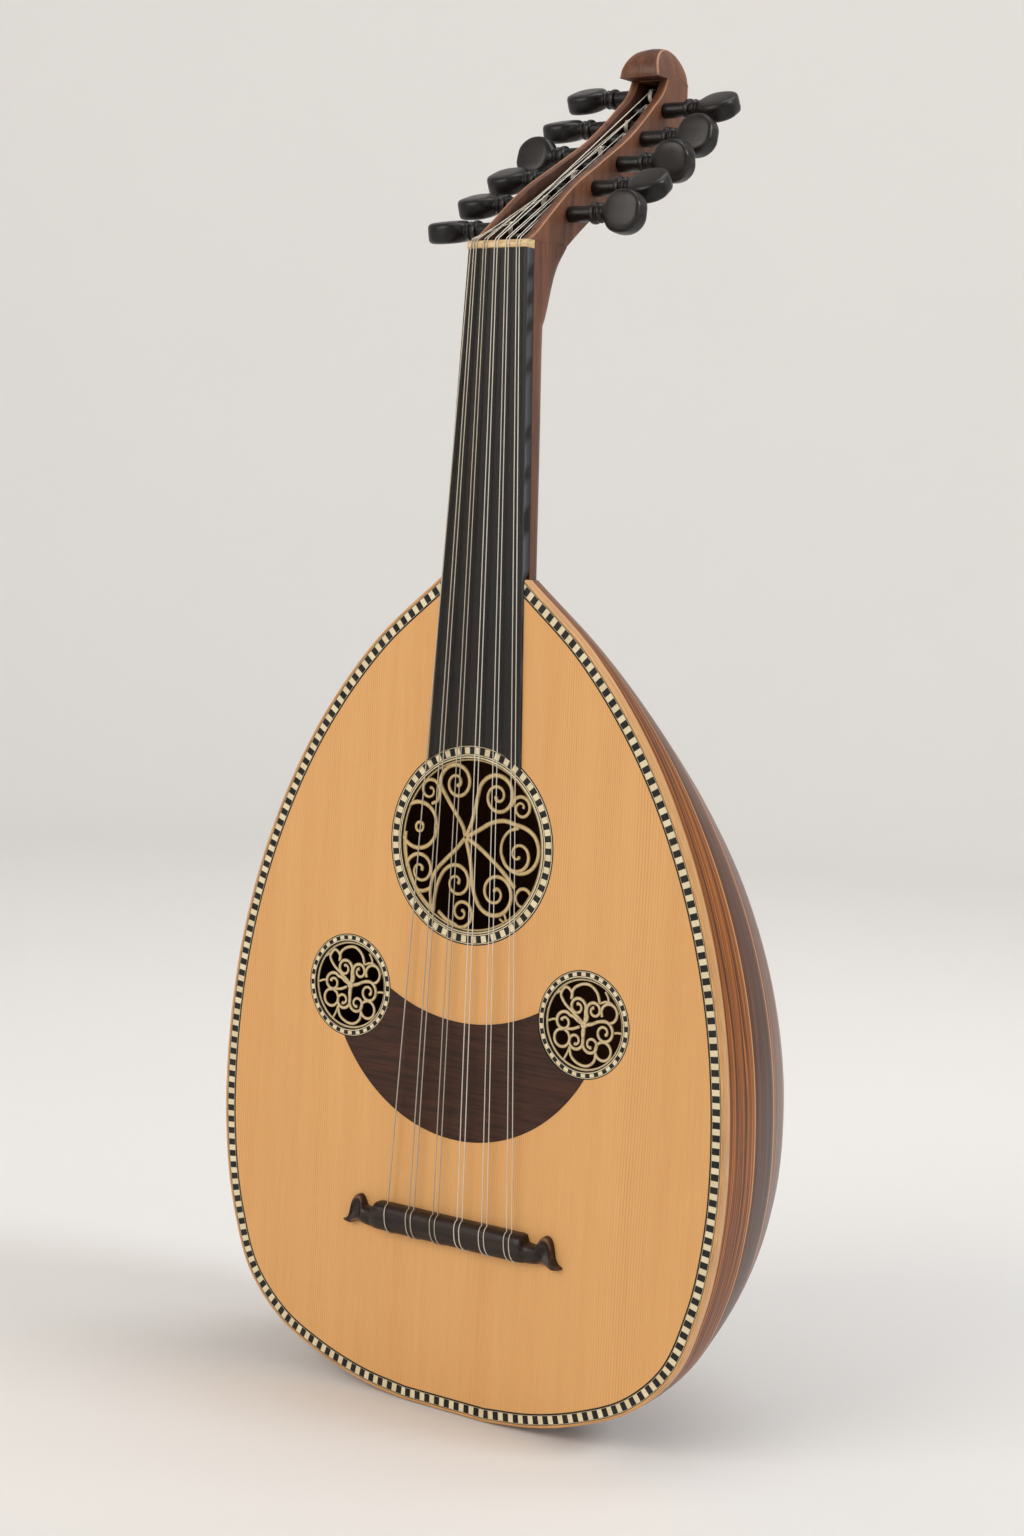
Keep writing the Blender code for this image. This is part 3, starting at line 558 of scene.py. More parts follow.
def make_floor(look):
    """Matt paper sweep with the faintest mottling."""
    s = Shader("paper_sweep", Roughness=0.9, Specular_IOR_Level=0.15)
    mottle = s.noise(s.place((3, 3, 3)), detail=3)
    colour = s.mix(mottle.between(0.3, 0.7) * 0.3, tuple(look.paper), tuple(np.array(look.paper) * 0.97))
    return s.finish(colour, 0.85 + mottle * 0.1)


# ---------------------------------------------------------------- settings

def colour_property(name, description, mixed):
    return bpy.props.FloatVectorProperty(name=name, description=description, default=tint(*mixed), size=4,
                                         min=0.0, max=1.0, subtype="COLOR")


class OudLooks(bpy.types.PropertyGroup):
    """Colours a user may change."""

    spruce_light: colour_property("Spruce", "Early wood of the top", (226, 172, 108))
    spruce_dark: colour_property("Spruce lines", "Late wood of the top", (190, 130, 72))
    rosewood: colour_property("Rosewood", "Body colour of the ribs", (66, 31, 11))
    edge_light: colour_property("Edge", "Golden strip round the rim", (228, 172, 104))
    cream: colour_property("Cream", "Pale blocks and lines", (232, 219, 186))
    guard: colour_property("Guard", "Scratch plate", (46, 24, 14))
    paper: colour_property("Paper", "Studio sweep", (237, 235, 233))


class OudSizes(bpy.types.PropertyGroup):
    """Sizes a user may change."""

    block_pitch: bpy.props.FloatProperty(name="Block pitch", description="One black and one cream block",
                                         default=7.3, min=2.0, max=20.0)
    rib_flatness: bpy.props.FloatProperty(name="Rib flatness",
                                          description="How far a rib dips between joints, mm",
                                          default=0.3, min=0.0, max=1.0)
    wire_width: bpy.props.FloatProperty(name="Scroll width", description="Width of the large scrolls, mm",
                                        default=2.95, min=1.0, max=4.0)
    small_wire_width: bpy.props.FloatProperty(name="Small scroll width",
                                              description="Width of the small scrolls, mm",
                                              default=2.2, min=0.6, max=3.0)
    coil_turns: bpy.props.IntProperty(name="Coil turns", description="Turns of string on each peg",
                                      default=4, min=1, max=9)
    key_power: bpy.props.FloatProperty(name="Key light", description="Power of the main soft light",
                                       default=30.0, min=0.0, unit="POWER")
    fill_power: bpy.props.FloatProperty(name="Fill light", description="Power of the fill light",
                                        default=50.0, min=0.0, unit="POWER")
    back_power: bpy.props.FloatProperty(name="Back light", description="Power of the light on the wall behind",
                                        default=54.0, min=0.0, unit="POWER")
    room_light: bpy.props.FloatProperty(name="Room light", description="Strength of the even room light",
                                        default=0.37, min=0.0)


# ---------------------------------------------------------------- operators

def link_aimed(name, data, place, right, up, ahead):
    """Links a camera or a lamp whose x axis is right, y axis is up, and which looks ahead along minus z."""
    made = bpy.data.objects.new(name, data)
    turned = np.eye(4)
    turned[:3, 0], turned[:3, 1], turned[:3, 2], turned[:3, 3] = right, up, -ahead, place
    made.matrix_world = Matrix(turned.tolist())
    bpy.context.scene.collection.objects.link(made)
    return made


class OUD_OT_stage(bpy.types.Operator):
    """Makes the camera, the soft lights and a pale paper sweep all round."""

    bl_idname = "oud.stage"
    bl_label = "Stage"

    def execute(self, context):
        scene, sizes = context.scene, context.scene.oud_sizes
        scene.view_settings.view_transform = "Standard"
        yaw, pitch, roll = (math.radians(a) for a in CAMERA_TURNS)
        ahead = np.array([-math.sin(yaw) * math.cos(pitch), math.cos(yaw) * math.cos(pitch), -math.sin(pitch)])
        level = np.array([math.cos(yaw), math.sin(yaw), 0.0])
        rise = np.cross(level, ahead)
        right = math.cos(roll) * level + math.sin(roll) * rise
        up = -math.sin(roll) * level + math.cos(roll) * rise
        lens = bpy.data.cameras.new("camera")
        lens.lens, lens.sensor_width, lens.sensor_fit = FOCAL_LENGTH, 36.0, "AUTO"
        scene.camera = link_aimed("camera", lens, CAMERA_PLACE, right, up, ahead)
        for name, place, size, target, power, colour in (
                ("key", (2.2, 0.5, 1.9), 0.9, (0.0, 0.05, 0.3), sizes.key_power, (0.9, 0.96, 1.0)),
                ("fill", (-0.7, -2.7, 1.7), 2.4, (0.0, 0.05, 0.35), sizes.fill_power, (1.0, 0.96, 0.9)),
                ("back", (0.4, 0.7, 3.0), 2.2, (-2.2, 3.2, 1.7), sizes.back_power, (1.0, 0.99, 0.97))):
            lamp = bpy.data.lights.new(name, "AREA")
            lamp.shape, lamp.size, lamp.energy, lamp.color = "DISK", size, power, colour
            aim = np.array(target) - np.array(place)
            aim /= np.linalg.norm(aim)
            side = np.cross(aim, (0.0, 0.02, 1.0))
            side /= np.linalg.norm(side)
            link_aimed(name, lamp, place, side, np.cross(side, aim), aim)
        world = bpy.data.worlds.new("room")
        world.use_nodes = True
        background = world.node_tree.nodes["Background"]
        background.inputs[0].default_value = tint(255, 253, 251)
        background.inputs[1].default_value = sizes.room_light
        scene.world = world
        # The sweep is a profile turned about the z axis: a flat floor, a quarter bend, then a wall.
        bend = np.linspace(0, np.pi / 2, 24)
        flat = np.array([0.001, 0.3, 1.0, 2.0, SWEEP_FLAT])
        reach = np.concatenate([flat, SWEEP_FLAT + SWEEP_BEND * np.sin(bend[1:]), [SWEEP_FLAT + SWEEP_BEND]])
        height = np.concatenate([0 * flat, SWEEP_BEND * (1 - np.cos(bend[1:])), [SWEEP_HEIGHT]]) - FLOOR_GAP
        turn = np.linspace(0, 2 * np.pi, 96, endpoint=False)[:, None]
        points = np.stack(np.broadcast_arrays(reach * np.cos(turn), reach * np.sin(turn), height), -1)
        mesh = bpy.data.meshes.new("sweep")
        rows, columns = points.shape[:2]
        i, j = np.meshgrid(np.arange(rows), np.arange(columns - 1), indexing="ij")
        after = (i + 1) % rows
        faces = np.stack([i * columns + j, i * columns + j + 1, after * columns + j + 1, after * columns + j], -1)
        mesh.from_pydata(points.reshape(-1, 3).tolist(), [], faces.reshape(-1, 4)[:, ::-1].tolist())
        mesh.shade_smooth()
        mesh.materials.append(make_floor(scene.oud_looks))
        sweep = bpy.data.objects.new("sweep", mesh)
        scene.collection.objects.link(sweep)
        return {"FINISHED"}


def bowl_grid(heights, shares):
    """The bowl's surface and outward normals: a superellipse at each height, walked by equal shares."""
    angle = np.linspace(0.0, np.pi, 481)
    power = 2.0 / SECTION_POWER
    half = np.interp(heights, OUTLINE[:, 1], OUTLINE[:, 0])[:, None]
    deep = np.interp(heights, BACK[:, 1], BACK[:, 0])[:, None]
    x = half * np.sign(np.cos(angle)) * np.abs(np.cos(angle)) ** power
    depth = RIM_DEPTH + (deep - RIM_DEPTH) * np.abs(np.sin(angle)) ** power
    steps = np.hypot(np.diff(x, axis=1), np.diff(depth, axis=1))
    along = np.concatenate([np.zeros((len(heights), 1)), np.cumsum(steps, axis=1)], axis=1)
    walked = [(np.interp(shares * a[-1], a, b), np.interp(shares * a[-1], a, c))
              for a, b, c in zip(along, x, depth)]
    grid = np.stack([np.array([w[0] for w in walked]), np.array([w[1] for w in walked]),
                     np.broadcast_to(heights[:, None], (len(heights), len(shares)))], -1)
    normals = np.cross(np.gradient(grid, axis=1), np.gradient(grid, axis=0))
    return grid, normals / np.linalg.norm(normals, axis=-1, keepdims=True)


class OUD_OT_bowl(bpy.types.Operator):
    """Makes the nineteen ribs and the end clasp over their tail ends."""

    bl_idname = "oud.bowl"
    bl_label = "Bowl"

    def execute(self, context):
        finish = make_rosewood(context.scene.oud_looks)
        heights = BODY_LENGTH * (1 - np.cos(np.linspace(0.0, np.pi, 91))) / 2
        columns = 10
        shares = np.linspace(0, 1, RIB_COUNT * columns + 1)
        grid, normals = bowl_grid(heights, shares)
        thickness = (RIB_THICKNESS * np.minimum(1.0, 0.4 + heights / 20))[:, None, None]
        across = np.linspace(0, 1, columns + 1)
        climb = lengths(grid[:, RIB_COUNT * columns // 2]) * MM
        for rib in range(RIB_COUNT):
            part = slice(rib * columns, (rib + 1) * columns + 1)
            surface, normal = grid[:, part].copy(), normals[:, part]
            width = np.linalg.norm(surface[:, -1] - surface[:, 0], axis=-1)[:, None]
            dip = context.scene.oud_sizes.rib_flatness * 4 * across * (1 - across) * np.minimum(width / 25, 1)
            lip = 0.16 * (np.abs(across - 0.5) > 0.49)
            outer = surface - (dip + lip)[..., None] * normal
            inner = surface - thickness * normal
            ring = np.concatenate([outer, inner[:, ::-1]], axis=1)
            ring[..., 1] -= FACE_DEPTH
            around = np.concatenate([across, across[::-1], across[:1]]) * 0.998 + 0.001 + rib
            hidden = np.concatenate([0 * across, 0 * across + 1])
            uv = np.stack(np.broadcast_arrays(around[None], climb[:, None]), -1)
            Surface().rings(ring * MM, uv, hidden).make(f"rib_{rib + 1:02d}_stave", finish, [f"rib_{rib + 1:02d}"],
                                                slot="rosewood", bend=50)
        levels = BODY_LENGTH * (1 - np.cos(np.pi * np.array([1, 3]) / 16)) / 2
        heights = np.linspace(levels[0], levels[1], 17)
        surface, normal = bowl_grid(heights, np.linspace(5, 14, 82) / RIB_COUNT)
        rise = np.sin(np.pi * np.linspace(0, 1, 17)) ** 0.25
        swell = 0.6 + 1.3 * np.outer(rise, np.minimum(1, 8 * np.sin(np.pi * np.linspace(0, 1, 82))))
        outer = surface + swell[..., None] * normal
        inner = surface + 0.5 * normal
        ring = np.concatenate([outer, inner[:, ::-1]], axis=1)
        ring[..., 1] -= FACE_DEPTH
        walnut = make_walnut("clasp_walnut", tint(96, 52, 32), tint(52, 27, 17), tint(150, 96, 64),
                             along=(26, 900, 900))
        Surface().rings(ring * MM).make("end_clasp_strip", walnut, ["end_clasp"], slot="walnut")
        return {"FINISHED"}


class OUD_OT_top(bpy.types.Operator):
    """Finishes the top and sets the block inlay and the golden strip round its rim."""

    bl_idname = "oud.top"
    bl_label = "Top and edging"

    def execute(self, context):
        looks = context.scene.oud_looks
        dress("soundboard", make_spruce(looks))
        base = rim_path(0.0)
        total = lengths(base)
        pairs = round(total[-1] / context.scene.oud_sizes.block_pitch)
        section = [(1.6, 0.3), (1.62, -0.02), (4.0, -0.05), (6.5, -0.05), (8.42, -0.02), (8.45, 0.3),
                   (8.3, 1.7), (1.8, 1.7)]
        from_groove = np.array([inset for inset, _ in section + section[:1]]) - 1.6
        finish = make_inlay(looks, "edge_inlay", 0.52, (0.8, 5.5), ((0.4, 0.62), (5.62, 5.8)))
        Surface().rings(self.sweep(section), self.uv(total * pairs / total[-1], from_groove)).make(
            "edge_block_inlay", finish, ["edge_purfling"], slot="inlay")
        section = [(1.62, 0.0), (0.8, -0.02), (0.35, 0.05), (0.1, 0.25), (0.0, 0.6), (0.0, 3.4), (0.0, 6.0),
                   (0.12, 6.35), (0.6, 6.5), (9.9, 6.3), (9.9, 2.4), (1.6, 2.3)]
        girth = lengths(np.array(section + section[:1]))
        Surface().rings(self.sweep(section), self.uv(total * MM, girth * MM)).make(
            "edge_strip", make_maple(looks), ["edge_band"], slot="maple")
        return {"FINISHED"}

    @staticmethod
    def sweep(section):
        """A closed section of (inset, depth) carried round the rim."""
        paths = [rim_path(inset) for inset, _ in section]
        return np.stack([row_place(path[:, 0], depth, path[:, 1])
                         for path, (_, depth) in zip(paths, section)], 1)

    @staticmethod
    def uv(along, across):
        """A place along the rim one way, a distance across the section the other."""
        return np.stack(np.meshgrid(along, across, indexing="ij"), -1)


def dress(node, finish):
    """Gives a CAD node that stays a finished material in each of its slots."""
    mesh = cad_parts[node].data
    if not mesh.materials:
        mesh.materials.append(finish)
    for k in range(len(mesh.materials)):
        mesh.materials[k] = finish


def curl(centre, radius, start, turns, hand, end=1.0, ease=1.0, samples=12):
    """A spiral: its angle turns evenly and its radius falls from radius to end with a power of the way."""
    share = np.linspace(0, 1, max(5, int(samples * turns)))
    angle = np.radians(start) + hand * 2 * np.pi * turns * share
    reach = radius + (end - radius) * share**ease
    return [(centre[0] + r * math.cos(a), centre[1] + r * math.sin(a)) for r, a in zip(reach, angle)]


def add_scroll(surface, line, wide, middle, tail=0.62, sides=10, height=0.62, depth=1.3):
    """A rounded strip along a flat line: it thins towards its tail and ends in a small bead."""
    points = smooth_line(line, 5)
    share = lengths(points) / lengths(points)[-1]
    half = wide / 2 * (1 - (1 - tail) * np.clip((share - 0.45) / 0.5, 0, 1))
    if tail < 1:
        half = half * (1 + 0.45 * np.exp(-((share - 0.985) / 0.018) ** 2))
    path = row_place(points[:, 0] + middle[0], depth, points[:, 1] + middle[1])
    tangents = np.gradient(path, axis=0)
    tangents /= np.linalg.norm(tangents, axis=1)[:, None]
    side = np.cross(tangents, (0.0, 1.0, 0.0))
    angle = np.linspace(0, 2 * np.pi, sides, endpoint=False)
    rings = (path[:, None] + (half * MM)[:, None, None] * side[:, None] * np.cos(angle)[None, :, None]
             + (half * height * MM)[:, None, None] * np.array([0.0, -1.0, 0.0]) * np.sin(angle)[None, :, None])
    # The front of each scroll gets the crest value for its painted highlight; its sides fall to painted shade.
    crest = np.clip(np.sin(angle), 0, 1)
    surface.rings(rings, wear_and_painted_light=crest[None].repeat(len(path), 0))


def ring_line(radius, first, last, centre=(0.0, 0.0), steps=40):
    """Part of a circle from one angle to another."""
    angle = np.radians(np.linspace(first, last, steps))
    return [(centre[0] + radius * math.cos(a), centre[1] + radius * math.sin(a)) for a in angle]


class OUD_OT_rosettes(bpy.types.Operator):
    """Makes the inlaid rings and carves the scrollwork inside them."""

    bl_idname = "oud.rosettes"
    bl_label = "Rosettes"

    def execute(self, context):
        looks, sizes = context.scene.oud_looks, context.scene.oud_sizes
        x, z, outer, width = LARGE_ROSETTE
        finish = make_inlay(looks, "ring_inlay_large", 0.5, (1.2, 5.1), ((0.45, 0.9), (5.45, 6.05), (6.65, 7.45)))
        self.ring("rosette_ring_large", (x, z), outer, width, 48, finish)
        x, z, outer, width = SMALL_ROSETTE
        finish = make_inlay(looks, "ring_inlay_small", 0.5, (0.85, 2.95), ((0.28, 0.6), (3.2, 3.75)))
        for word, side in (("left", -1), ("right", 1)):
            self.ring(f"rosette_ring_{word}", (side * x, z), outer, width, 30, finish)
        # Each grille's two colours: painted shade down the scroll sides, painted highlight on their crests.
        self.large(make_grille("grille_gold", (104, 78, 44), (204, 176, 122)), sizes.wire_width)
        small = make_grille("grille_bone", (108, 82, 52), (212, 190, 146))
        for word, side in (("left", -1), ("right", 1)):
            self.small(f"rosette_grille_{word}", (side * x, z), small, sizes.small_wire_width)
        return {"FINISHED"}

    @staticmethod
    def ring(name, middle, outer, width, pairs, finish):
        """A flat ring whose inner edge rises in a bead: a section of radius and depth turned once round."""
        inner = outer - width
        section = [(outer + 0.35, 0.4), (outer + 0.33, -0.03), (outer - 0.3, -0.1), (outer - width * 0.64, -0.1),
                   (inner + 1.5, -0.12), (inner + 1.0, -0.45), (inner + 0.5, -0.55), (inner + 0.1, -0.3),
                   (inner - 0.05, 0.3), (inner, 1.95), (outer - 0.1, 1.95)]
        angle = np.linspace(0, 2 * np.pi, 240, endpoint=False)[:, None]
        radius = np.array([r for r, _ in section])
        depth = np.array([d for _, d in section])
        rings = row_place(middle[0] + radius * np.cos(angle), depth + 0 * angle,
                          middle[1] + radius * np.sin(angle))
        across = outer - np.append(radius, radius[0])
        uv = np.stack(np.meshgrid(np.linspace(0, pairs, 241), across, indexing="ij"), -1)
        Surface().grid(rings, uv, (True, True)).make(name + "_inlay", finish, [name], slot="inlay")

    @staticmethod
    def large(finish, wide):
        """Scrolls that branch from one hub: stems run into spirals, and small rings fill the gaps."""
        hub = (-4.6, 4.0)
        thin, even = 0.66, 1.0
        # Each row: a line, its share of the full width, and the share of that left at its tail.
        lines = [
            ([hub, (-6.2, 9), (-11.6, 16.5), (-19, 25.5)] + curl((-12.6, 35.3), 12.2, 178, 1.75, -1), 1, thin),
            ([hub, (-1, 12), (1.6, 22), (3.4, 31)] + curl((17.3, 30), 13.7, 156, 1.95, -1, 1.0, 0.9), 1, thin),
            (curl((34.3, 24.8), 6.9, 176, 1.5, -1, 1.2, 1.5), 0.8, thin),
            ([hub, (5, 9.3), (14, 14.4), (23, 16.3), (31, 14.8)]
             + curl((34.5, 0.2), 13.6, 78, 0.95, -1, 13.2), 1, thin),
            (curl((33.4, -2.6), 11.6, 186, 1.4, 1, 1.0, 0.9), 0.85, thin),
            ([hub, (-1.2, -6), (0.8, -15), (2.2, -24)]
             + curl((18.6, -26.2), 14.8, 196, 1.85, 1, 1.0, 1.0), 1, thin),
            ([hub, (4, 0), (13, -5.8), (24, -14), (32.4, -21.8)], 1, even),
            (curl((38.6, -27), 5.4, 150, 1.02, -1, 5.3), 0.8, thin),
            ([hub, (-11, -3.5), (-19, -11), (-26, -19), (-28.6, -29), (-27.6, -38), (-25.5, -45)], 1, thin),
            ([(-25.6, -42), (-25.2, -33), (-23, -24)] + curl((-9.6, -23), 11.2, 148, 1.5, -1), 0.9, thin),
            ([(-22, -41.5), (-16, -45.6), (-10, -47.8)] + curl((-5.2, -40.3), 9.0, 262, 1.5, 1), 0.9, thin),
            (curl((-36.8, -18.4), 13.2, -48, 1.9, -1, 1.0, 1.0), 0.9, thin),
            (curl((-39.4, 8.1), 13.7, 0, 1.01, 1, 13.7), 0.95, even),
            (curl((-38.6, 7), 2.9, 20, 1.15, 1, 2.5), 0.7, thin),
            ([(-30.4, 21.6), (-26.4, 23.6)] + curl((-32.2, 29.4), 7.3, -14, 1.3, 1, 1.2, 1.2), 0.8, thin),
            (ring_line(48.8, 176, 236), 0.75, even),
            (ring_line(50.2, 0, 360, steps=90), 0.6, even),
            ([(25.6, -37.6), (27, -41.4), (26.4, -43)], 0.6, even),
            ([(22.6, -41), (27.4, -43.2), (33.6, -39.4)], 0.6, even),
        ]
        surface = Surface()
        for line, share, tail in lines:
            add_scroll(surface, line, wide * share, LARGE_ROSETTE[:2], tail)
        surface.make("rosette_grille_large_scrolls", finish, ["rosette_grille_large"], slot="grille", bend=60)

    @staticmethod
    def small(node, middle, finish, wide):
        """A flower: six curled petals from one hub, loops and arches between them, and short ties to the rim."""
        petals = [
            [(0, 0), (0.5, 4), (0.6, 9)] + curl((-5, 9.6), 5.7, 0, 1.3, 1, 1.6),
            [(0, 0), (2, 4.5)] + curl((6.4, 8.9), 5.3, 200, 1.3, -1, 1.6),
            [(0, 0), (4, 0.5), (9, 2.8)] + curl((13.6, -2.8), 6.6, 75, 1.35, -1, 1.7),
            [(0, 0), (0, -5)] + curl((5.2, -10.8), 5.5, 180, 1.3, 1, 1.6),
            [(0, 0), (-0.8, -4.5)] + curl((-5.6, -10), 5.4, 0, 1.3, -1, 1.6),
            [(0, 0), (-4, 1.5), (-8.5, 4)] + curl((-13.8, 0), 6.2, 40, 1.35, 1, 1.7)]
        loops = [
            [(0, 0), (-3, 2.5), (-8, 6), (-14.5, 11), (-17, 15.5), (-13.5, 20), (-9.5, 17), (-9.8, 13.5)],
            [(0, 0), (6, 1.5), (11, 3.2)] + curl((16.3, 8.6), 5.6, 245, 0.9, 1, 5.2),
            ring_line(5.3, 80, 440, (13.5, -13.5), 24),
            [(-3, -1.5), (-8, -3.5)] + curl((-15, -9.5), 5.4, 75, 0.98, -1, 5.0),
            [(-9.2, 14.5), (-9, 18.5), (-4, 22.5), (2, 23.2), (7.5, 19.5), (9.8, 13.5)],
            [(-9.5, -14), (-7.8, -19.5), (-2.5, -23), (3.5, -23.3), (8, -19.5), (8.6, -15.5)]]
        ties = [[(19.8, -2.2), (22.5, -1.6), (25, -1.6)], [(-19.6, 0.6), (-22, 0.2), (-25, -1)],
                [(9.8, 13.5), (14, 15), (19, 13.5), (22.5, 9)], [(-17, 17), (-18.5, 16.6), (-20, 15.5)],
                [(13, 20.5), (15, 17.5), (15.6, 14.8)], [(-9.5, -14), (-11, -18), (-13, -21.6)]]
        surface = Surface()
        for line in petals:
            add_scroll(surface, line, wide, middle, 0.8, 8, 0.8, 1.1)
        for line in loops:
            add_scroll(surface, line, wide * 0.92, middle, 1.0, 8, 0.75)
        for line in ties:
            add_scroll(surface, line, wide * 0.7, middle, 1.0, 8, 0.7, 1.45)
        add_scroll(surface, ring_line(25.9, 0, 360, steps=60), wide * 0.75, middle, 1.0, 8)
        add_scroll(surface, ring_line(1.2, 0, 360, steps=16), wide * 1.2, middle, 1.0, 8, 0.9, 1.0)
        surface.make(f"{node}_scrolls", finish, [node], slot="grille", bend=60)


def soft_shares(count, edge=0.006):
    """Shares from 0 to 1 with two extra close to each end, where an edge is rounded."""
    return np.concatenate([[0, edge, 3 * edge], np.linspace(0, 1, count)[1:-1], [1 - 3 * edge, 1 - edge, 1]])


class OUD_OT_pickguard(bpy.types.Operator):
    """Makes the crescent scratch plate between the small rosettes."""

    bl_idname = "oud.pickguard"
    bl_label = "Pickguard"

    def execute(self, context):
        shares = soft_shares(28)[:, None]
        ends = soft_shares(70, 0.0025)[None, :]
        centre = GUARD_BOTTOM[0] + shares * (GUARD_TOP[0] - GUARD_BOTTOM[0])
        radius = GUARD_BOTTOM[1] + shares * (GUARD_TOP[1] - GUARD_BOTTOM[1])
        # Each arc stops where it meets the small rosette's circle: the two circles' crossing point.
        rose = np.array(SMALL_ROSETTE[:2])
        clear = SMALL_ROSETTE[2] + 0.15
        apart = np.hypot(rose[0], rose[1] - centre)
        reach = (radius**2 - clear**2 + apart**2) / (2 * apart)
        rise = np.sqrt(np.maximum(radius**2 - reach**2, 0))
        toward = np.arctan2(rose[1] - centre, rose[0])
        last = toward - np.arctan2(rise, reach)
        angle = (-np.pi - last) + ends * (2 * last + np.pi)
        x, z = radius * np.cos(angle), centre + radius * np.sin(angle)
        edge = np.minimum(np.minimum(shares, 1 - shares) * 90, np.minimum(ends, 1 - ends) * 190)
        rim = np.exp(-(edge / 0.35) ** 2)
        front = row_place(x, -0.62 + 0.3 * np.exp(-(edge / 0.25) ** 2), z)
        back = row_place(x, -0.05 + 0 * edge, z)
        surface = Surface()
        surface.grid(front, wear_and_painted_light=rim * 0.9)
        surface.grid(back)
        surface.walls(front, back, 0.9)
        surface.make("pickguard_plate", make_guard(context.scene.oud_looks), ["pickguard"], slot="guard")
        return {"FINISHED"}


BRIDGE_STATIONS = [
    # distance from the middle, lower edge, upper edge, height, scoop
    (0, -8.5, 8.5, 9.6, 0), (46, -8.5, 8.5, 9.5, 0), (53, -8.4, 8.4, 9.4, 0), (54, -8.3, 8.2, 9.2, 0),
    (55.2, -8.2, 6, 8.4, 0), (56.2, -8, 4, 7.6, 0), (57.5, -7.9, 3.6, 7.3, 0), (59.2, -7.8, 3.5, 7.2, 0),
    (61, -7.6, 3.4, 7.2, 0), (63, -7.3, 3.8, 7.2, 0), (64.5, -7, 6, 7, 0.05), (66, -6.8, 8.6, 6.7, 0.3),
    (68, -6.9, 9.9, 6.6, 0.55), (70.6, -7.6, 9.3, 6.9, 0.6), (72.6, -8.4, 6.6, 6.9, 0.5),
    (73.8, -8.8, 2.2, 6.4, 0.3), (75, -8.9, -2.8, 5.6, 0.1), (77, -8.6, -5.4, 4.8, 0),
    (79, -8.0, -6.4, 4.2, 0), (79.6, -7.5, -6.8, 3.6, 0)]


class OUD_OT_bridge(bpy.types.Operator):
    """Carves the half-round bridge with its stepped shoulders and horned ends."""

    bl_idname = "oud.bridge"
    bl_label = "Bridge"

    def execute(self, context):
        right = smooth_line(BRIDGE_STATIONS, 6)
        left = right[:0:-1] * (-1, 1, 1, 1, 1)
        stations = np.concatenate([left, right])
        angle = np.linspace(0, np.pi, 31)
        low, high, height, scoop = (stations[:, k, None] for k in range(1, 5))
        middle, half = (low + high) / 2, (high - low) / 2
        z = BRIDGE_Z + middle - half * np.sign(np.cos(angle)) * np.abs(np.cos(angle)) ** 0.85
        hollow = 1 - np.clip(scoop, 0, 1) * np.exp(-((angle - np.pi / 2) / 0.75) ** 2)
        rise = np.clip(height, 0.5, None) * np.sin(angle) ** 0.55 * hollow
        x = stations[:, :1] + 0 * z
        front = row_place(x, -rise, z)
        back = row_place(x[:, 1:-1], 0.05 + 0 * x[:, 1:-1], z[:, -2:0:-1])
        edge = np.clip(scoop, 0, 1) * 1.5 * np.exp(-((np.abs(angle - np.pi / 2) - 1.05) / 0.28) ** 2)
        edge = edge + np.clip((np.abs(stations[:, :1]) - 76) / 4, 0, 1) * 0.5
        wear_and_painted_light = np.concatenate([np.clip(edge, 0, 0.9), 0 * x[:, 1:-1]], axis=1)
        finish = make_ebony("bridge_ebony", (26, 17, 13), (58, 38, 28), (136, 92, 60), along=(0.04, 1.0, 1.0))
        Surface().rings(np.concatenate([front, back], axis=1), wear_and_painted_light=wear_and_painted_light).make(
            "bridge_carved", finish, ["bridge"], slot="ebony", bend=55)
        return {"FINISHED"}


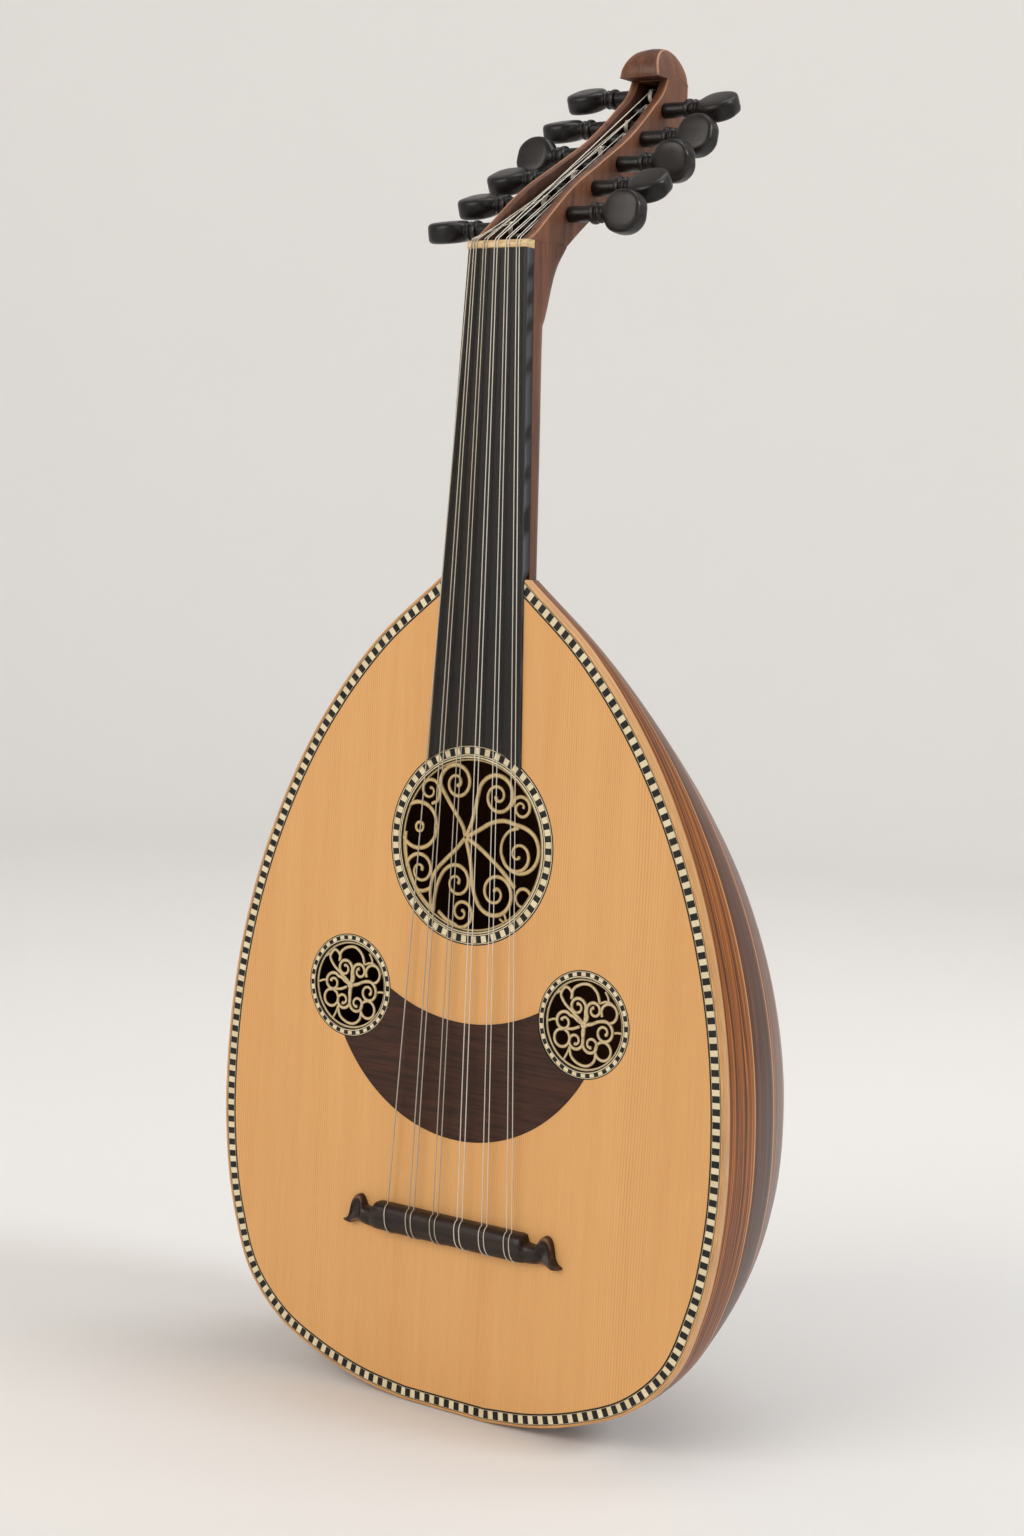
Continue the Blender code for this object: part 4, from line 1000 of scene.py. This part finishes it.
class OUD_OT_neck(bpy.types.Operator):
    """Makes the fingerboard, the neck that swells into its heel, and the slotted nut."""

    bl_idname = "oud.neck"
    bl_label = "Neck, fingerboard and nut"

    def execute(self, context):
        self.fingerboard()
        self.neck()
        self.nut(make_bone())
        return {"FINISHED"}

    @staticmethod
    def fingerboard():
        """Each strip runs from the concave end round the rosette to the nut; the long edges are rounded."""
        across = np.sin(np.linspace(-1, 1, 25) * np.pi / 2)
        top = NUT_LOW - 0.1
        corner = 33.6
        tip_z = LARGE_ROSETTE[1] + np.sqrt(FINGERBOARD_END_RADIUS**2 - (across * corner) ** 2) + 4.2
        along = soft_shares(40, 0.0008)[:, None]
        x = across * (corner * (1 - along) + neck_half(top) * along)
        z = tip_z * (1 - along) + top * along
        edge = np.clip((np.abs(across) - 0.955) / 0.045, 0, 1)
        depth = FINGERBOARD_FRONT + 1.1 * edge**2 + 0.25 * np.exp(-((along * 300) / 0.6) ** 2) + 0 * z
        front = row_place(x, depth, z)
        low = np.where(z > BODY_LENGTH, FINGERBOARD_BACK, -0.05)
        back = row_place(x, low, z)
        surface = Surface()
        # Painted highlight: the edge colour rises towards the rounded long edges.
        surface.grid(front, wear_and_painted_light=0.6 * edge**3 + 0 * z)
        surface.grid(back)
        surface.walls(front, back)
        # The third colour is the bluish grey of the painted highlight on the edges.
        finish = make_ebony("fingerboard_ebony", (19, 15, 12), (34, 27, 22), (126, 128, 136), roughness=0.3,
                            along=(1.0, 1.0, 0.02))
        surface.make("fingerboard_plate", finish, ["fingerboard"], slot="ebony", bend=40)

    @staticmethod
    def neck():
        """A half-round section that grows square towards the pegbox."""
        back = smooth_line(NECK_BACK, 8)
        z = np.concatenate([np.linspace(BODY_LENGTH, 640, 20), np.linspace(644, NUT_HIGH + 0.2, 18)])[:, None]
        deepest = np.interp(z, back[:, 1], back[:, 0])
        square = np.clip((z - 640) / 47, 0, 1)
        power = 2.0 / (SECTION_POWER + 5 * square + 12 * square**6)
        start = FINGERBOARD_BACK
        width = neck_half(z) - square * CHEEK_TAPER * start
        angle = np.linspace(0, np.pi, 41)
        x = width * np.sign(np.cos(angle)) * np.abs(np.cos(angle)) ** power
        depth = start + (deepest - start) * np.abs(np.sin(angle)) ** power
        finish = make_walnut("neck_walnut", tint(118, 68, 44), tint(62, 34, 22), tint(170, 116, 84))
        Surface().rings(row_place(x, depth, z + 0 * x)).make("neck_carved", finish, ["neck"], slot="walnut")

    @staticmethod
    def nut(finish):
        """A rounded bar; at each string a round-bottomed slot is let into its crest."""
        x = np.linspace(-NUT_HALF_WIDTH, NUT_HALF_WIDTH, 281)[:, None]
        section = np.array([
            (NUT_LOW, FINGERBOARD_BACK), (NUT_LOW, NUT_FRONT + 1.2), (NUT_LOW + 0.3, NUT_FRONT + 0.4),
            (NUT_LOW + 1, NUT_FRONT), (NUT_LOW + 2.2, NUT_FRONT - 0.1), (NUT_HIGH - 1.2, NUT_FRONT + 0.3),
            (NUT_HIGH - 0.3, NUT_FRONT + 1.2), (NUT_HIGH, NUT_FRONT + 2.4), (NUT_HIGH, FINGERBOARD_BACK)])
        slot = sum(np.exp(-((x - place) / (1.2 * radius)) ** 4)
                   for place, radius in zip(NUT_PLACES, STRING_RADII))
        crest = np.clip((NUT_FRONT + 2 - section[:, 1]) / 2, 0, 1)
        ends = np.clip((np.abs(x) - NUT_HALF_WIDTH + 0.6) / 0.6, 0, 1) ** 2
        depth = section[:, 1] + 0.5 * slot * crest + 0.5 * ends * crest
        Surface().rings(row_place(x + 0 * depth, depth, section[:, 0] + 0 * depth)).make(
            "nut_slotted", finish, ["nut"], slot="bone")


class OUD_OT_pegbox(bpy.types.Operator):
    """Makes the bent-back pegbox: two cheeks, its floor and the hooded end."""

    bl_idname = "oud.pegbox"
    bl_label = "Pegbox"

    def execute(self, context):
        # The third colour is the edge colour: rubbed wear with a painted highlight on the arrises.
        finish = make_walnut("pegbox_walnut", tint(126, 76, 48), tint(72, 39, 23), tint(196, 142, 108),
                             turn=math.radians(54))
        # Painted shade: a much darker copy of the same walnut for the floor inside the box.
        inside = make_walnut("pegbox_inside_painted_shade", tint(44, 27, 20), tint(20, 13, 10), tint(60, 40, 30),
                             turn=math.radians(54))
        count = 90
        front = evenly(smooth_line(CHEEK_FRONT, 8), count)
        back = evenly(smooth_line(BOX_BACK, 8), count)
        span = np.linalg.norm(back - front, axis=1)[:, None]
        # Round the section: in from the front arris, across the outer side, round the back, and up the inside.
        near = np.array([0.35, 0.0, 0.35, 1.0])
        share = np.concatenate([near / span, 0.3 + 0 * span, 0.6 + 0 * span, 1 - near[::-1] / span,
                                1 + 0 * span, 0.6 + 0 * span, 0.3 + 0 * span, 0.0 * span], axis=1)
        inward = np.array([1.6, 0.55, 0.05, 0, 0, 0, 0, 0.05, 0.5, 1.4, CHEEK_THICKNESS, CHEEK_THICKNESS,
                           CHEEK_THICKNESS, CHEEK_THICKNESS])
        depth = front[:, :1] + (back - front)[:, :1] * share
        z = front[:, 1:] + (back - front)[:, 1:] * share
        z[-1] += 0.3
        # Per ring of the section: above zero the rounded arrises get rubbed wear with a painted highlight, below zero
        # the faces inside the box get painted shade.
        arris = np.array([0.25, 1.0, 1.0, 0.15, 0, 0, 0.05, 0.3, 0.3, 0, -1, -1, -1, -0.4])
        for side, word in ((-1, "left"), (1, "right")):
            rings = row_place(side * (cheek_outside(depth) - inward), depth, z)
            Surface().rings(rings, wear_and_painted_light=0.75 * arris + 0 * depth).make(
                f"pegbox_cheek_{word}_carved", finish, [f"pegbox_cheek_{word}"], slot="walnut", bend=50)
        back = evenly(smooth_line(BOX_BACK, 8), 60)
        floor = back + BOX_FLOOR * leftwards(back)
        floor[0] = (29.0, back[0, 1])
        floor[-1, 1] = back[-1, 1]
        across = np.array([-1, -0.9, -0.4, 0.4, 0.9, 1])
        gap = CHEEK_THICKNESS - 0.1
        half_back, half_floor = cheek_outside(back[:, :1]) - gap, cheek_outside(floor[:, :1]) - gap
        belly = 0.8 * (1 - across**2)
        out = -leftwards(back)
        rings = np.concatenate([
            row_place(across * half_back, back[:, :1] + out[:, :1] * belly, back[:, 1:] + out[:, 1:] * belly),
            row_place(across[::-1] * half_floor, floor[:, :1] + 0 * across, floor[:, 1:] + 0 * across)], axis=1)
        Surface().rings(rings).make("pegbox_floor", inside, ["pegbox_back"], slot="walnut", bend=50)
        self.finial(finish)
        return {"FINISHED"}

    @staticmethod
    def finial(finish):
        """The hood's side outline carried across the box, rounded at both sides.

        Its half width falls by a power of the climb from its foot to its crown.
        """
        low, high = FINIAL[0][1], max(z for _, z in FINIAL)
        under = [(174, low - 0.5), (160, low - 0.5), (148.8, low - 0.5), FINIAL[0]]
        outline = evenly(np.concatenate([smooth_line(FINIAL[1:], 8), under]), 160)
        tangents = np.roll(outline, -1, axis=0) - np.roll(outline, 1, axis=0)
        tangents /= np.linalg.norm(tangents, axis=1)[:, None]
        inward = np.stack([tangents[:, 1], -tangents[:, 0]], axis=1)
        area = np.sum(outline[:, 0] * np.roll(outline[:, 1], -1) - outline[:, 1] * np.roll(outline[:, 0], -1))
        inward *= 1 if area < 0 else -1
        hood = np.clip((outline[:, 1] - low + 0.2) / 2, 0, 1)[:, None]
        rings, wear_and_painted_light = [], []
        # Each ring: its share of the half width, its inset and its edge value; the rounded side edges get rubbed wear
        # with a painted highlight.
        for share, inset, edge_wear_and_highlight in ((-1, 6, 0), (-1, 1.1, 0.1), (-0.985, 0.5, 0.9), (-0.955, 0.1, 0.7), (-0.9, 0, 0),
                                   (-0.5, -0.5, 0), (0, -0.8, 0), (0.5, -0.5, 0), (0.9, 0, 0), (0.955, 0.1, 0.7),
                                   (0.985, 0.5, 0.9), (1, 1.1, 0.1), (1, 6, 0)):
            moved = outline + inset * inward * hood
            climb = np.clip((moved[:, 1] - low) / (high - low), 0, 1)
            half = cheek_outside(moved[:, 0]) * (1 - FINIAL_DRAWN_IN * climb**1.5)
            rings.append(row_place(share * half, moved[:, 0], moved[:, 1]))
            wear_and_painted_light.append(edge_wear_and_highlight * hood[:, 0])
        Surface().rings(np.array(rings), wear_and_painted_light=np.array(wear_and_painted_light)).make(
            "finial_hood", finish, ["finial"], slot="walnut", bend=50)


def peg_axes():
    """Where the pegs cross the box, as (depth, z), evenly along its middle line."""
    line = smooth_line(PEG_LINE, 8)
    return evenly(line, PEG_COUNT)


def peg_names():
    """The pegs' names from the lowest up: they alternate sides, the first on the bass side."""
    return [f"peg_{'right' if k % 2 else 'left'}_{k // 2 + 1}" for k in range(PEG_COUNT)]


class OUD_OT_pegs(bpy.types.Operator):
    """Turns the eleven pegs: a plain shaft, a double collar and a flat round head."""

    bl_idname = "oud.pegs"
    bl_label = "Pegs"

    def execute(self, context):
        # The third colour is the grey of rubbed wear with a painted highlight on the collars and the head's rim.
        finish = make_ebony("peg_ebony", (13, 11, 10), (27, 22, 19), (70, 62, 58), along=(0.05, 1.0, 1.0),
                            roughness=0.26)
        sides = 40
        angle = np.linspace(0, 2 * np.pi, sides, endpoint=False)
        for k, ((depth, z), name) in enumerate(zip(peg_axes(), peg_names())):
            side = 1 if k % 2 else -1
            cheek = cheek_outside(depth)
            crisp = [(-2 * cheek + 0.6, PEG_TIP_RADIUS - 0.3, PEG_TIP_RADIUS - 0.3),
                     (-2 * cheek + 1.1, PEG_TIP_RADIUS, PEG_TIP_RADIUS)] + PEG_PROFILE
            profile = smooth_line(crisp, 5)
            out, wide, thick = profile[:, 0, None], profile[:, 1, None], profile[:, 2, None]
            head = np.clip((out - 26) / 6, 0, 1)
            power = 2.0 / (2.0 + 2.6 * head)
            across = wide * np.sign(np.cos(angle)) * np.abs(np.cos(angle)) ** power
            through = thick * np.sign(np.sin(angle)) * np.abs(np.sin(angle)) ** power
            turn = math.radians(PEG_TURNS[k])
            rings = row_place(side * (cheek + out) + 0 * across,
                              depth + across * math.sin(turn) + through * math.cos(turn),
                              z + across * math.cos(turn) - through * math.sin(turn))
            # The collars and the head's rim take the edge colour: rubbed wear with a painted highlight.
            collar = np.exp(-((out - 18.1) / 1.2) ** 8) + np.exp(-((out - 22.3) / 0.5) ** 4)
            rim = head * np.clip(1 - np.abs(np.abs(through) / np.maximum(thick, 1) - 0.93) * 9, 0, 1)
            Surface().rings(rings, wear_and_painted_light=np.clip(0.22 * collar + 0.4 * rim, 0, 0.5) + 0 * across).make(
                f"{name}_turned", finish, [name], name, "ebony", 38)
        return {"FINISHED"}


def bridge_front(share, x, radius):
    """A point over the bridge's half-round front, from its lower edge to its upper one."""
    angle = np.pi * share
    z = BRIDGE_Z - (8.5 + radius) * np.sign(np.cos(angle)) * np.abs(np.cos(angle)) ** 0.85
    return np.stack([x, -((9.5 + radius) * np.sin(angle) ** 0.55), z], axis=1)


class OUD_OT_strings(bpy.types.Operator):
    """Strings the oud: round the bridge, over the nut and down to a coil on each peg."""

    bl_idname = "oud.strings"
    bl_label = "Strings"

    def execute(self, context):
        nylon = make_string("nylon", (226, 220, 206), 0)
        wound = make_string("wound", (204, 194, 176), 1.4)
        axes, names = peg_axes(), peg_names()
        for course, members in enumerate(COURSES):
            surface = Surface()
            for place, string in enumerate(members):
                radius = STRING_RADII[string]
                centre = (course - (len(COURSES) - 1) / 2) * COURSE_SPACING
                x = centre + (place - (len(members) - 1) / 2) * PAIR_SPACING
                share = np.linspace(0.03, 0.9, 26)
                lean = 4.6 * (1 - share / 0.9) ** 1.3
                wrap = bridge_front(share, x + lean, radius + 0.05)
                depth, z = axes[STRING_PEGS[string]]
                away = PEG_RADIUS + 0.3 + radius + 0.15
                over = NUT_FRONT - 0.1 - radius
                nut_x = NUT_PLACES[string]
                climb = np.linspace(0, 1, 30)[:, None]
                start, rest = wrap[-1], np.array([nut_x, over, NUT_LOW + 0.6])
                rise = start + (rest - start) * climb[1:]
                last = np.array([WINDING_PLACES[string], depth - 0.58 * away, z + 0.82 * away])
                crest = np.array([nut_x, over, NUT_HIGH - 1.2])
                bend = np.array([nut_x + (last[0] - nut_x) * 0.01, over + 1.2, NUT_HIGH + 0.9])
                drop = bend + (last - bend) * np.linspace(0, 1, 12)[1:, None]
                path = np.concatenate([wrap, rise, [crest, bend], drop])
                points = row_place(path[:, 0], path[:, 1], path[:, 2])
                surface.rings(tube_rings(points, radius * MM, radius * MM), length_uv(points, 8))
            finish = wound if members[-1] < WOUND_STRINGS else nylon
            surface.make(f"strings_course_{course + 1}_taut", finish, [f"strings_course_{course + 1}"],
                         slot="string", bend=60)
        turns = context.scene.oud_sizes.coil_turns
        for string, peg in enumerate(STRING_PEGS):
            radius = STRING_RADII[string]
            depth, z = axes[peg]
            middle = WINDING_PLACES[string]
            share = np.linspace(0, 1, 24 * turns)
            angle = 2 * np.pi * turns * share + 2.2
            side = 1 if peg % 2 else -1
            run = radius * 2.15 * turns * side
            reach = PEG_RADIUS - 0.15 + radius
            path = row_place(middle + run * share, depth + reach * np.cos(angle), z + reach * np.sin(angle))
            surface = Surface().rings(tube_rings(path, radius * MM, radius * MM, 6), length_uv(path, 6))
            finish = wound if string < WOUND_STRINGS else nylon
            surface.make(f"{names[peg]}_coil", finish, [], names[peg], "string", 60)
        return {"FINISHED"}


class OUD_OT_inside(bpy.types.Operator):
    """Finishes the braces and blocks inside the body."""

    bl_idname = "oud.inside"
    bl_label = "Inside woods"

    def execute(self, context):
        bare = make_walnut("bare_spruce", tint(196, 150, 98), tint(166, 120, 74), tint(206, 166, 116),
                           along=(26, 900, 900))
        for node in ("brace_1", "brace_2", "brace_3", "neck_block", "tail_block"):
            dress(node, bare)
        return {"FINISHED"}


OPERATORS = (OUD_OT_stage, OUD_OT_bowl, OUD_OT_top, OUD_OT_rosettes, OUD_OT_pickguard, OUD_OT_bridge, OUD_OT_neck,
             OUD_OT_pegbox, OUD_OT_pegs, OUD_OT_strings, OUD_OT_inside)


class OUD_PT_panel(bpy.types.Panel):
    """Lists the pieces and their settings."""

    bl_idname = "OUD_PT_panel"
    bl_label = "Oud"
    bl_space_type = "VIEW_3D"
    bl_region_type = "UI"
    bl_category = "Oud"

    def draw(self, context):
        for operator in OPERATORS:
            self.layout.operator(operator.bl_idname)
        for group in (context.scene.oud_sizes, context.scene.oud_looks):
            for name in group.__annotations__:
                self.layout.prop(group, name)


def register():
    for made in (OudLooks, OudSizes) + OPERATORS + (OUD_PT_panel,):
        bpy.utils.register_class(made)
    bpy.types.Scene.oud_looks = bpy.props.PointerProperty(type=OudLooks)
    bpy.types.Scene.oud_sizes = bpy.props.PointerProperty(type=OudSizes)


def unregister():
    del bpy.types.Scene.oud_looks, bpy.types.Scene.oud_sizes
    for made in reversed((OudLooks, OudSizes) + OPERATORS + (OUD_PT_panel,)):
        bpy.utils.unregister_class(made)


def main():
    register()
    for operator in OPERATORS:
        getattr(bpy.ops.oud, operator.bl_idname.split(".")[1])()


if __name__ == "__main__":
    main()
